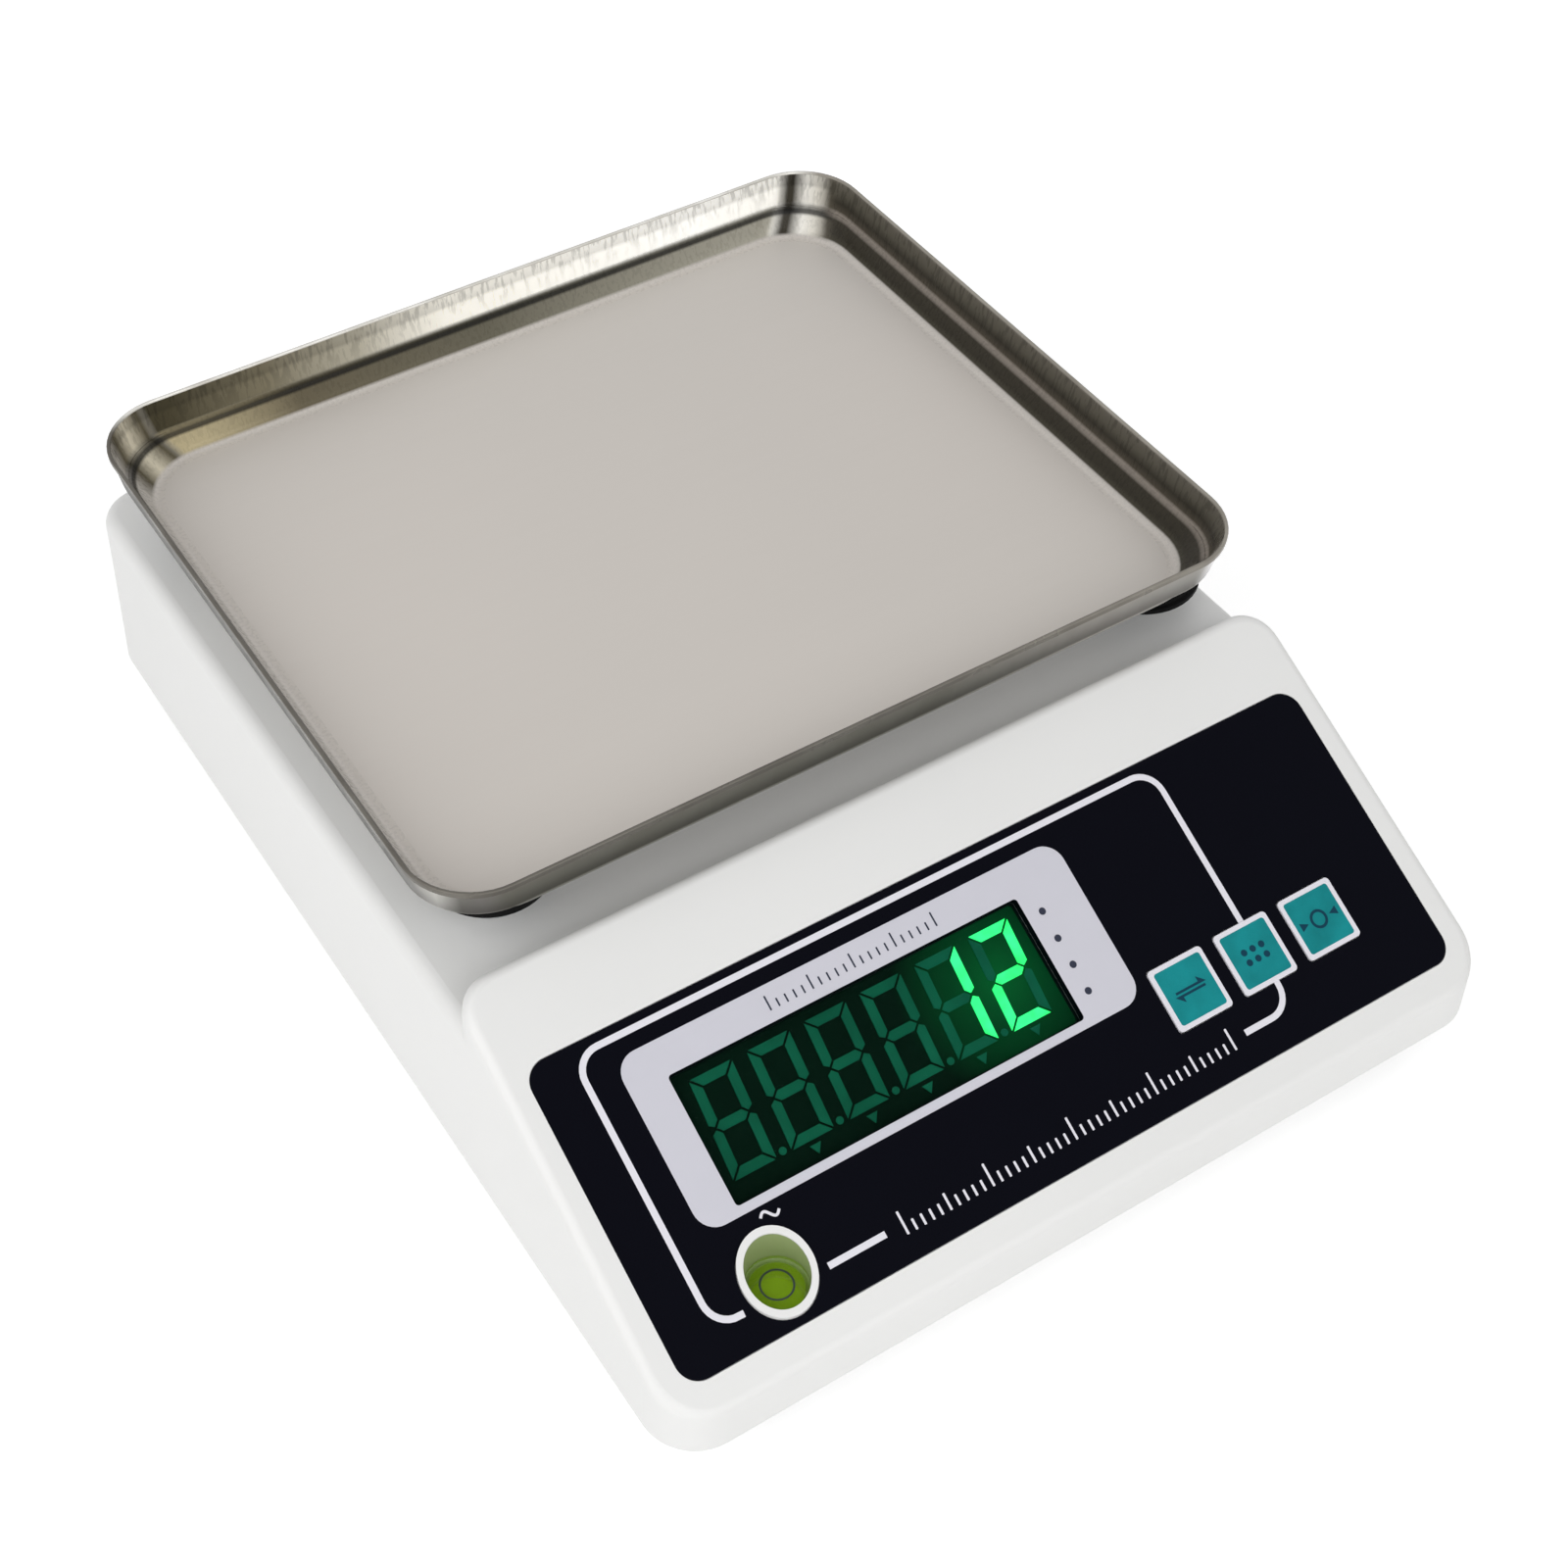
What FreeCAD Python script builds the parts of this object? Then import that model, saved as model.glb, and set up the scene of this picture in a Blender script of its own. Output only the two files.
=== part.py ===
"""Electronic laboratory balance: sloped console, levelled base and a square stainless pan.

Millimetres. +X is the user's right, +Y the back, +Z up. The origin is on the table,
under the middle of the housing's footprint.
"""
import FreeCAD, Part
import math
import os

from FreeCAD import Placement, Rotation, Vector

# Housing: outside sizes are taken at the parting line between the two shells
housing_width = 195.0
housing_depth = 250.0
housing_corner_radius = 11.0
wall_draft_deg = 1.7
wall = 2.5
foot_gap = 10.0
base_drop = 3.0
front_lip = 10.9
console_run = 80.8
console_tilt_deg = 26.4
console_rear_radius = 9.0
console_edge_round = 2.2
console_wall = 3.0
deck_rise = 41.8
deck_edge_round = 3.0
deck_tuck = 14.2
overrun = 20.0

# Lower housing: a tray that fits inside the upper shell's skirt
shell_gap = 0.3
base_plate = 2.5
tray_wall = 2.0
tray_wall_height = 7.0
housing_boss_radius = 3.6
housing_boss_height = 4.5
housing_screw_x_front = 30.0
housing_screw_y_front = 9.5
housing_screw_from_jack = 12.0
housing_screw_y_rear = 11.0
housing_screw_x_side = 10.5
housing_screw_y_side = 95.0
housing_screw_radius = 1.4
housing_screw_grip = 6.0
housing_screw_head_radius = 2.7
housing_screw_head = 1.8
housing_screw_pass_radius = 1.7
housing_pilot_radius = 1.4

# Weighing pan: pressed from one sheet, with a stepped wall
pan_side_margin = 2.25
pan_front_margin = 1.8
pan_corner_radius = 15.3
pan_ledge_corner_radius = 15.3
pan_floor_corner_radius = 16.5
pan_sheet = 0.8
pan_lower_wall = 5.0
pan_ledge = 1.0
pan_ledge_rise = 0.5
pan_upper_wall = 7.5
pan_lower_lean = 2.6
pan_upper_lean = 1.6
pan_bend_radius = 2.7
pan_back_margin = 5.6

# Pan support: a cross of flat arms with a round rubber pad at each end
pad_radius = 12.5
pad_thick = 3.4
pad_inset_x = 17.0
pad_inset_y = 18.9
pad_shift_x = 2.5
pad_edge = 0.8
support_clearance = 3.2
support_thick = 4.3
support_arm_width = 15.0
support_arm_end_radius = 8.5
support_hub_width = 44.0
support_hub_depth = 62.0
support_hub_radius = 6.0
support_hole_radius = 4.0
support_hole_share = 0.55

# Load cell: a single-point bending beam under the middle of the pan
cell_length = 80.0
cell_section = 12.7
cell_window_radius = 4.5
cell_window_margin = 8.0
cell_slot = 4.0
cell_end_pad = 24.0
cell_screw_pitch = 13.0
cell_screw_inset = 6.0
cell_live_screw_radius = 2.0
cell_fixed_screw_radius = 2.5
cell_thread_depth = 8.0
cell_under_deck = 6.3
pedestal_width = 20.0
cell_spacer_thick = 4.0
gauge_cover_margin = 3.0
gauge_cover_width = 9.0
gauge_cover_thick = 1.0
live_screw_head_radius = 3.5
live_screw_head = 3.0
fixed_screw_head_radius = 4.2
fixed_screw_head = 4.0
fixed_screw_shelf = 12.0
cell_tower_margin = 3.0
cell_tower_wall = 2.5
cell_tower_top = 4.0
deck_opening_clearance = 3.0
deck_opening_radius = 3.0
stop_screw_radius = 2.5
stop_gap = 0.5
stop_boss_radius = 6.0
stop_boss_below_cell = 9.0
stop_nut_width = 8.0
stop_nut_thick = 3.2

# Panel overlay: everything on the sloped face, measured from the overlay's centre
panel_side_margin = 6.5
panel_depth = 63.3
panel_corner_radius = 4.5
panel_thick = 0.5
panel_front_margin = 6.4
panel_fit_gap = 0.15

# Display: tinted window, six digits and their board
window_left_margin = 23.65
window_right_margin = 78.85
window_rear_margin = 13.0
window_depth = 26.6
window_lip = 2.0
window_thick = 1.5
window_corner_radius = 0.8
display_gap = 0.7
display_body_thick = 7.5
display_body_inset = 0.4
digit_count = 6
digit_side_margin = 1.65
digit_height = 20.0
digit_space_share = 0.26
digit_raise = 1.0
digit_slant_deg = 4.0
segment_width_share = 0.1
segment_gap = 0.35
segment_thick = 0.25
point_radius = 0.75
marker_width = 2.4
marker_height = 1.9
marker_drop = 0.9
board_thick = 1.6
display_board_side = 7.0
display_board_depth = 50.0
display_board_s = 0.6
display_board_radius = 1.5
display_boss_radius = 3.2
display_boss_inset_x = 5.0
display_boss_inset_s = 5.0
display_screw_radius = 1.2
display_screw_grip = 4.5
display_screw_head_radius = 2.3
display_screw_head = 1.5

# Keys: three square pads over tactile switches
key_names = ("unit", "count", "tare")
key_size = 13.3
key_corner_radius = 0.9
key_right_margin = 22.7
key_pitch = 16.6
key_front_margin = 19.15
key_proud = 0.3
key_plate = 1.3
key_gap = 0.2
key_travel = 0.4
key_bottom_gap = 0.2
key_stem_radius = 2.2
key_stem_gap = 0.4
switch_size = 6.0
switch_body = 3.6
switch_button_radius = 1.7
switch_button_rise = 1.4
switch_button_hidden = 1.0
switch_button_gap = 0.1
switch_well_depth = 1.6

# Spirit level: a round vial standing upright in a white collar
level_left_margin = 24.6
level_front_margin = 10.05
collar_radius = 7.5
collar_wall = 1.3
collar_proud = 0.5
collar_floor = 1.5
vial_gap = 0.15
vial_height = 7.0
vial_drop = 0.9
vial_wall = 0.8
vial_cap = 1.0
bubble_radius = 2.6
bubble_height = 1.1
bubble_shift = 1.2

# Levelling feet
foot_inset_x = 19.5
foot_inset_y = 21.0
foot_pad_radius = 11.0
foot_pad_height = 5.0
foot_pad_edge = 0.8
foot_pad_socket_floor = 1.5
foot_screw_radius = 3.0
foot_thread_gap = 0.05
foot_wheel_radius = 9.0
foot_wheel_height = 3.2
foot_wheel_gap = 0.3
foot_wheel_grooves = 24
foot_wheel_groove_radius = 0.6
foot_boss_radius = 6.4
foot_boss_height = 5.0
foot_insert_radius = 4.4
foot_screw_below_boss = 0.5
foot_socket_gap = 0.05
foot_tip_gap = 0.1

# Battery and its compartment, open to the underside
battery_side_margin = 12.5
battery_foot_gap = 18.0
battery_width = 50.0
battery_height = 24.0
battery_gap = 0.8
battery_lift = 0.3
battery_seam = 2.0
battery_foam_thick = 1.2
bay_wall = 2.0
cover_plate = 2.0
cover_margin = 1.8
cover_gap = 0.3
cover_rail_width = 2.0
cover_rail_lip = 1.8
cover_rail_thick = 1.2
cover_grip_count = 5
cover_grip_pitch = 2.6
cover_grip_width = 1.2
cover_grip_depth = 0.8
cover_grip_length = 24.0
cover_grip_inset = 6.0
battery_lead_inset = 6.0
battery_lead_rise = 14.0
lead_hole_gap = 0.4

# Main board, on the right under the deck
main_board_side = 13.5
main_board_rear = 49.0
main_board_width = 52.0
main_board_length = 92.0
main_board_boss_radius = 3.4
main_board_boss_height = 6.5
main_board_screw_inset = 4.5
main_screw_radius = 1.4
main_screw_grip = 5.0
main_screw_head_radius = 2.6
main_screw_head = 1.7
shield_size = 20.0
shield_height = 3.5
shield_offset_y = -22.0
chip_width = 10.0
chip_length = 14.0
chip_height = 2.2
chip_offset_y = 8.0
capacitor_radius = 4.0
capacitor_height = 11.0
capacitor_offset_x = 17.0
capacitor_offset_y = 26.0
capacitor_pitch = 10.0
connector_width = 14.0
connector_length = 6.0
connector_height = 6.5
battery_connector_x = -9.0
panel_connector_x = 8.0
power_connector_x = 6.0
end_connector_y = 39.0
cell_connector_x = -16.0
cell_connector_y = -6.0
buzzer_radius = 6.0
buzzer_height = 8.0
buzzer_hole_radius = 1.0
buzzer_hole_depth = 2.0
buzzer_offset_x = -16.0
buzzer_offset_y = 34.0

# Power switch and supply socket in the rear wall
rear_pocket_depth = 5.2
rear_pocket_margin = 4.0
rear_pocket_margin_z = 3.0
rear_pocket_radius = 2.0
rear_fitting_height = 20.0
switch_side_margin = 33.5
switch_bezel_width = 21.0
switch_bezel_height = 15.0
switch_bezel_thick = 1.6
switch_case_width = 18.8
switch_case_height = 12.8
switch_case_depth = 14.0
switch_case_gap = 0.15
rocker_width = 14.4
rocker_height = 9.6
rocker_gap = 0.65
rocker_proud = 2.2
rocker_depth = 4.2
rocker_well = 7.2
rocker_tilt_deg = 9.0
rocker_pin_radius = 0.9
rocker_pin_gap = 0.08
rocker_pin_depth = 2.2
rocker_pin_stub = 0.6
switch_tag_width = 4.0
switch_tag_thick = 0.8
switch_tag_length = 6.0
switch_tag_spread = 9.0
jack_from_switch = 26.0
jack_flange_radius = 5.4
jack_flange_thick = 1.2
jack_barrel_radius = 4.0
jack_barrel_depth = 11.0
jack_bore_radius = 2.9
jack_bore_depth = 10.0
jack_pin_radius = 1.0
jack_pin_length = 5.2
jack_nut_width = 11.0
jack_nut_thick = 2.0
jack_fit_gap = 0.1

# Leads and ribbon inside the housing
lead_radius = 1.8
lead_above_board = 4.0
cell_lead_from_back = 22.5
cell_lead_out = 14.0
battery_lead_out = 12.0
battery_lead_gap = 2.2
battery_lead_in = 12.0
power_lead_slack = 7.0
power_lead_drop = 12.0
ribbon_width = 12.0
ribbon_thick = 0.9
ribbon_slack = 30.0
ribbon_start_gap = 6.0
header_s = 20.0
header_width = 14.0
header_length = 5.0
header_height = 4.5
level_board_gap = 1.2

# Worked out from the sizes above
draft = math.tan(math.radians(wall_draft_deg))
tilt = math.radians(console_tilt_deg)
slope_cos = math.cos(tilt)
slope_sin = math.sin(tilt)
slope_rise = math.tan(tilt)
half_width = housing_width / 2
half_depth = housing_depth / 2
base_z = foot_gap
parting_z = base_z + base_drop
floor_z = base_z + base_plate
lip_y = -half_depth + front_lip * draft
lip_z = parting_z + front_lip
console_back_y = -half_depth + console_run
console_back_z = lip_z + (console_back_y - lip_y) * slope_rise
deck_z = parting_z + deck_rise
deck_under_z = deck_z - wall
panel_width = housing_width - 2 * panel_side_margin
panel_centre_s = panel_front_margin + panel_depth / 2
panel_y = lip_y + panel_centre_s * slope_cos
panel_z = lip_z + panel_centre_s * slope_sin
support_z = deck_z + support_clearance
support_top_z = support_z + support_thick
pan_z = support_top_z + pad_thick
pan_width = housing_width - 2 * pan_side_margin
pan_depth = housing_depth - console_run - pan_front_margin - pan_back_margin
pan_y = half_depth - pan_back_margin - pan_depth / 2
pad_x = pan_width / 2 - pad_inset_x
pad_y = pan_depth / 2 - pad_inset_y
cell_z = deck_under_z - cell_under_deck - cell_section
cell_top_z = cell_z + cell_section
cell_free_length = cell_length - 2 * cell_end_pad
cell_window_spread = cell_free_length - 2 * cell_window_margin
gauge_cover_length = cell_free_length - 2 * gauge_cover_margin
cell_front_y = pan_y - cell_length / 2
cell_back_y = pan_y + cell_length / 2
spacer_z = cell_z - cell_spacer_thick
boss_top_z = floor_z + housing_boss_height
foot_x = half_width - foot_inset_x
foot_y = half_depth - foot_inset_y
foot_boss_z = floor_z + foot_boss_height
window_under_w = -panel_thick - window_thick
display_top_w = window_under_w - display_gap
board_top_w = display_top_w - display_body_thick
board_under_w = board_top_w - board_thick
switch_top_w = board_top_w + switch_body
button_top_w = switch_top_w + switch_button_rise
fitting_z = parting_z + rear_fitting_height
window_width = panel_width - window_left_margin - window_right_margin
window_x = -panel_width / 2 + window_left_margin + window_width / 2
window_s = panel_depth / 2 - window_rear_margin - window_depth / 2
digit_pitch = (window_width - 2 * digit_side_margin) / digit_count
digit_width = digit_pitch * (1 - digit_space_share)
segment_width = digit_height * segment_width_share
display_board_width = panel_width - 2 * display_board_side
key_first_x = panel_width / 2 - key_right_margin - (len(key_names) - 1) * key_pitch
key_s = -panel_depth / 2 + key_front_margin
level_x = -panel_width / 2 + level_left_margin
level_s = -panel_depth / 2 + level_front_margin
battery_x = -half_width + battery_side_margin + battery_width / 2
battery_y = pan_y
battery_length = 2 * (foot_y - battery_y - battery_foot_gap)
battery_lead_y = battery_y - battery_length / 2 + battery_lead_inset
battery_lead_z = base_z + battery_lead_rise
main_board_x = half_width - main_board_side - main_board_width / 2
main_board_y = half_depth - main_board_rear - main_board_length / 2
switch_x = half_width - switch_side_margin
jack_x = switch_x - jack_from_switch
housing_screw_x_rear = jack_x + housing_screw_from_jack
SLOPE = Placement(Vector(0, panel_y, panel_z), Rotation(Vector(1, 0, 0), console_tilt_deg))


def on_slope(shape):
    """Moves a shape drawn on the panel's own plane onto the sloped face."""
    moved = shape.copy()
    moved.Placement = SLOPE.multiply(moved.Placement)
    return moved


def box(x0, x1, y0, y1, z0, z1):
    return Part.makeBox(x1 - x0, y1 - y0, z1 - z0, Vector(x0, y0, z0))


def post(x, y, z0, z1, radius):
    return Part.makeCylinder(radius, z1 - z0, Vector(x, y, z0))


def rod_y(x, z, y0, y1, radius):
    return Part.makeCylinder(radius, y1 - y0, Vector(x, y0, z), Vector(0, 1, 0))


def rod_x(y, z, x0, x1, radius):
    return Part.makeCylinder(radius, x1 - x0, Vector(x0, y, z), Vector(1, 0, 0))


def fused(shapes):
    first = shapes[0]
    if len(shapes) == 1:
        return first
    return first.multiFuse(shapes[1:]).removeSplitter()


def outline(x0, x1, y0, y1, z, front_radius, rear_radius):
    """Closed rectangle outline with its front and rear corners rounded."""
    corners = (
        (x1, y0, -1, 1, front_radius, 270),
        (x1, y1, -1, -1, rear_radius, 0),
        (x0, y1, 1, -1, rear_radius, 90),
        (x0, y0, 1, 1, front_radius, 180),
    )
    ends = []
    arcs = []
    for x, y, toward_x, toward_y, radius, start in corners:
        if radius > 0:
            centre = Vector(x + toward_x * radius, y + toward_y * radius, z)
            arc = Part.makeCircle(radius, centre, Vector(0, 0, 1), start, start + 90)
            arcs.append(arc)
            ends.append((arc.Vertexes[0].Point, arc.Vertexes[-1].Point))
        else:
            arcs.append(None)
            ends.append((Vector(x, y, z), Vector(x, y, z)))
    edges = []
    for index, arc in enumerate(arcs):
        if arc is not None:
            edges.append(arc)
        edges.append(Part.makeLine(ends[index][1], ends[(index + 1) % len(ends)][0]))
    return Part.Wire(edges)


def plate(x, y, width, depth, z0, z1, radius):
    """Flat rounded plate centred on x, y."""
    wire = outline(x - width / 2, x + width / 2, y - depth / 2, y + depth / 2, z0, radius, radius)
    return Part.Face(wire).extrude(Vector(0, 0, z1 - z0))


def drafted(y0, y1, half_x, inset, front_radius, rear_radius, z0, z1):
    """Block whose walls lean in by the draft; its sizes are those at the parting line."""
    wires = []
    for z in (z0, z1):
        shrink = inset + (z - parting_z) * draft
        front = max(front_radius - shrink, 0)
        rear = max(rear_radius - shrink, 0)
        wires.append(outline(-half_x + shrink, half_x - shrink, y0 + shrink, y1 - shrink, z, front, rear))
    return Part.makeLoft(wires, True, True)


def under_slope(lift):
    """Everything under the sloped face, raised along its normal by lift."""
    def height(y):
        return lip_z + (y - lip_y) * slope_rise + lift / slope_cos

    front = -half_depth - overrun
    back = half_depth
    low = base_z - overrun
    points = (
        Vector(-half_width - overrun, front, low),
        Vector(-half_width - overrun, front, height(front)),
        Vector(-half_width - overrun, back, height(back)),
        Vector(-half_width - overrun, back, low),
    )
    face = Part.Face(Part.makePolygon(list(points) + [points[0]]))
    return face.extrude(Vector(housing_width + 2 * overrun, 0, 0))


def rounded_top(block, radius, normal):
    """Rounds the rim of the block's top face, which looks along normal."""
    rim = []
    for face in block.Faces:
        u0, u1, v0, v1 = face.ParameterRange
        if face.normalAt((u0 + u1) / 2, (v0 + v1) / 2).getAngle(normal) < math.radians(1):
            if face.Surface.TypeId == "Part::GeomPlane":
                rim.extend(face.Edges)
    return block.makeFillet(radius, rim)


def console_block(inset, drop, edge_round, start_z):
    back = console_back_y + (console_back_z - parting_z) * draft
    block = drafted(-half_depth, back, half_width, inset, housing_corner_radius,
                    console_rear_radius, start_z, console_back_z + overrun)
    block = block.common(under_slope(-drop))
    if edge_round > 0:
        block = rounded_top(block, edge_round, Vector(0, -slope_sin, slope_cos))
    return block


def deck_block(inset, drop, edge_round, start_z):
    front = console_back_y - deck_tuck - (deck_z - parting_z) * draft
    block = drafted(front, half_depth, half_width, inset, 0, housing_corner_radius,
                    start_z, deck_z - drop)
    if edge_round > 0:
        rim = []
        for face in block.Faces:
            if face.Surface.TypeId == "Part::GeomPlane" and face.BoundBox.ZMin > deck_z - drop - edge_round:
                for edge in face.Edges:
                    if edge.BoundBox.YMax > front + (deck_z - parting_z) * draft + edge_round:
                        rim.append(edge)
        block = block.makeFillet(edge_round, rim)
    return block


def housing_screw_places():
    places = []
    for side in (-1, 1):
        places.append((side * housing_screw_x_front, -half_depth + housing_screw_y_front))
        places.append((side * housing_screw_x_rear, half_depth - housing_screw_y_rear))
        places.append((side * (half_width - housing_screw_x_side), -half_depth + housing_screw_y_side))
    return places


def key_places():
    return [(key_first_x + index * key_pitch, key_s) for index in range(len(key_names))]


def display_screw_places():
    half_x = display_board_width / 2 - display_boss_inset_x
    half_s = display_board_depth / 2 - display_boss_inset_s
    return [(x, display_board_s + s) for x in (-half_x, half_x) for s in (-half_s, half_s)]


def level_axis():
    """Plan position of the upright vial, and the sloped face's height there."""
    return level_x, panel_y + level_s * slope_cos, panel_z + level_s * slope_sin


def vial_top_height():
    z = level_axis()[2]
    return z - (collar_radius - collar_wall) * slope_rise - vial_drop


def rear_seat_y():
    return half_depth - rear_pocket_depth


def rear_pocket(grow, y0, y1):
    """Rounded block for the recess around the switch and the socket."""
    x0 = jack_x - jack_flange_radius - rear_pocket_margin - grow
    x1 = switch_x + switch_bezel_width / 2 + rear_pocket_margin + grow
    height = switch_bezel_height + 2 * rear_pocket_margin_z + 2 * grow
    block = plate((x0 + x1) / 2, 0, x1 - x0, height, 0, y1 - y0, rear_pocket_radius + grow)
    block.rotate(Vector(0, 0, 0), Vector(1, 0, 0), 90)
    block.translate(Vector(0, y1, fitting_z))
    return block


def upper_housing():
    shell = fused([
        console_block(0, 0, console_edge_round, parting_z),
        deck_block(0, 0, deck_edge_round, parting_z),
    ])
    cavity = fused([
        console_block(wall, console_wall, 0, parting_z - overrun),
        deck_block(wall, wall, 0, parting_z - overrun),
    ])
    shell = shell.cut(cavity)

    # Screw columns that come down to the lower housing's bosses
    columns = []
    for x, y in housing_screw_places():
        columns.append(post(x, y, boss_top_z, deck_z, housing_boss_radius))
    solid = fused([console_block(0, console_wall / 2, 0, parting_z), deck_block(0, wall / 2, 0, parting_z)])
    columns = [column.common(solid) for column in columns]

    # Posts that carry the display board, square to the sloped face
    for x, s in display_screw_places():
        columns.append(on_slope(post(x, s, board_top_w, -console_wall / 2, display_boss_radius)))

    # Upright collar for the vial, cut off level with the sloped face
    x, y, z = level_axis()
    seat_z = vial_top_height() - vial_height
    collar = post(x, y, seat_z - collar_floor, z + overrun, collar_radius).common(under_slope(collar_proud))
    columns.append(rear_pocket(wall, rear_seat_y() - wall, half_depth).common(solid))
    overlay = on_slope(plate(0, 0, panel_width + 2 * panel_fit_gap, panel_depth + 2 * panel_fit_gap,
                             -panel_thick, overrun, panel_corner_radius + panel_fit_gap))
    shell = shell.cut(overlay)
    shell = fused([shell, collar] + columns)

    cuts = [post(x, y, seat_z, z + overrun, collar_radius - collar_wall)]
    for x, y in housing_screw_places():
        cuts.append(post(x, y, boss_top_z, boss_top_z + housing_screw_grip, housing_pilot_radius))
    for x, s in display_screw_places():
        cuts.append(on_slope(post(x, s, board_top_w, board_top_w + display_screw_grip, display_screw_radius)))
    for x, s in key_places():
        well = key_size + 2 * key_gap
        well_w = key_proud - key_plate - key_travel - key_bottom_gap
        cuts.append(on_slope(plate(x, s, well, well, well_w, 0, key_corner_radius)))
        cuts.append(on_slope(post(x, s, -console_wall - overrun, 0, key_stem_radius + key_stem_gap)))
    cuts.append(on_slope(plate(window_x, window_s, window_width + 2 * window_lip, window_depth + 2 * window_lip,
                               window_under_w, 0, window_corner_radius + window_lip)))
    cuts.append(on_slope(plate(window_x, window_s, window_width, window_depth,
                               -console_wall - overrun, 0, window_corner_radius)))
    opening_y = cell_front_y + cell_end_pad / 2
    cuts.append(plate(0, opening_y, pedestal_width + 2 * deck_opening_clearance,
                      cell_end_pad + 2 * deck_opening_clearance, deck_under_z - wall,
                      deck_z + overrun, deck_opening_radius))
    seat = rear_seat_y()
    cuts.append(rear_pocket(0, seat, seat + overrun))
    case_x = switch_case_width / 2 + switch_case_gap
    case_z = switch_case_height / 2 + switch_case_gap
    cuts.append(box(switch_x - case_x, switch_x + case_x, seat - overrun, seat + overrun,
                    fitting_z - case_z, fitting_z + case_z))
    cuts.append(rod_y(jack_x, fitting_z, seat - overrun, seat + overrun, jack_barrel_radius + jack_fit_gap))
    for cut in cuts:
        shell = shell.cut(cut)
    return shell


def battery_bay(grow, z0, z1):
    half_x = battery_width / 2 + battery_gap + grow
    half_y = battery_length / 2 + battery_gap + grow
    return box(battery_x - half_x, battery_x + half_x, battery_y - half_y, battery_y + half_y, z0, z1)


def bay_top_z():
    return base_z + battery_lift + battery_height + battery_foam_thick


def cover_half_y():
    return battery_length / 2 + battery_gap + cover_margin


def cover_half_x():
    return battery_width / 2 + battery_gap + cover_margin


def cell_tower():
    """Ribbed tower that holds up the load cell's fixed end."""
    half_x = cell_section / 2 + cell_tower_margin
    y0 = cell_back_y - cell_end_pad - cell_tower_margin
    y1 = cell_back_y + cell_tower_margin
    tower = box(-half_x, half_x, y0, y1, base_z, spacer_z)
    inside = box(-half_x + cell_tower_wall, half_x - cell_tower_wall, y0 + cell_tower_wall,
                 y1 - cell_tower_wall, base_z - overrun, spacer_z - cell_tower_top)
    tower = tower.cut(inside)
    columns = []
    holes = []
    for y in fixed_screw_rows():
        radius = fixed_screw_head_radius + cell_tower_wall
        columns.append(post(0, y, base_z, spacer_z, radius).common(box(-half_x, half_x, y0, y1, base_z, spacer_z)))
        holes.append(post(0, y, base_z - overrun, spacer_z - fixed_screw_shelf, fixed_screw_head_radius))
        holes.append(post(0, y, base_z, spacer_z + overrun, cell_fixed_screw_radius))
    return fused([tower] + columns), holes


def live_screw_rows():
    first = cell_front_y + cell_screw_inset
    return (first, first + cell_screw_pitch)


def fixed_screw_rows():
    last = cell_back_y - cell_screw_inset
    return (last - cell_screw_pitch, last)


def stop_place():
    """The overload stop stands under the middle of the cell's live end."""
    return 0, cell_front_y + cell_end_pad / 2


def main_screw_places():
    half_x = main_board_width / 2 - main_board_screw_inset
    half_y = main_board_length / 2 - main_board_screw_inset
    return [(main_board_x + sx * half_x, main_board_y + sy * half_y) for sx in (-1, 1) for sy in (-1, 1)]


def lower_housing():
    inset = wall + shell_gap
    top_z = floor_z + tray_wall_height
    tray = drafted(-half_depth, half_depth, half_width, inset, housing_corner_radius,
                   housing_corner_radius, base_z, top_z)
    hollow = drafted(-half_depth, half_depth, half_width, inset + tray_wall, housing_corner_radius,
                     housing_corner_radius, floor_z, top_z + overrun)
    tray = tray.cut(hollow)
    tower, holes = cell_tower()
    solids = [tray, tower]
    for x, y in housing_screw_places():
        solids.append(post(x, y, base_z, boss_top_z, housing_boss_radius))
        holes.append(post(x, y, base_z - overrun, boss_top_z + overrun, housing_screw_pass_radius))
        holes.append(post(x, y, base_z - overrun, base_z + housing_screw_head, housing_screw_head_radius))
    for x, y in foot_places():
        solids.append(post(x, y, base_z, foot_boss_z, foot_boss_radius))
        holes.append(post(x, y, base_z - overrun, foot_boss_z + overrun, foot_insert_radius))
    for x, y in main_screw_places():
        top = floor_z + main_board_boss_height
        solids.append(post(x, y, base_z, top, main_board_boss_radius))
        holes.append(post(x, y, top - main_screw_grip, top + overrun, main_screw_radius))
    x, y = stop_place()
    stop_top = cell_z - stop_boss_below_cell
    solids.append(post(x, y, base_z, stop_top, stop_boss_radius))
    holes.append(post(x, y, floor_z, stop_top + overrun, stop_screw_radius))

    # Battery compartment: a box open at the bottom, with rails for its cover
    solids.append(battery_bay(bay_wall, base_z, bay_top_z() + bay_wall))
    holes.append(battery_bay(0, base_z - overrun, bay_top_z()))
    for side in (-1, 1):
        edge = battery_y + side * (cover_half_y() + cover_gap)
        outer = edge + side * cover_rail_width
        low = base_z - cover_plate - 2 * cover_gap
        x0 = battery_x - cover_half_x()
        x1 = battery_x + cover_half_x()
        solids.append(box(x0, x1, min(edge, outer), max(edge, outer), low - cover_rail_thick, base_z))
        inner = edge - side * cover_rail_lip
        solids.append(box(x0, x1, min(inner, outer), max(inner, outer), low - cover_rail_thick, low))
    wall_x = battery_x + battery_width / 2
    holes.append(rod_x(battery_lead_y, battery_lead_z, wall_x, wall_x + battery_gap + bay_wall,
                       lead_radius + lead_hole_gap))
    tray = fused(solids)
    for hole in holes:
        tray = tray.cut(hole)
    return tray


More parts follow.
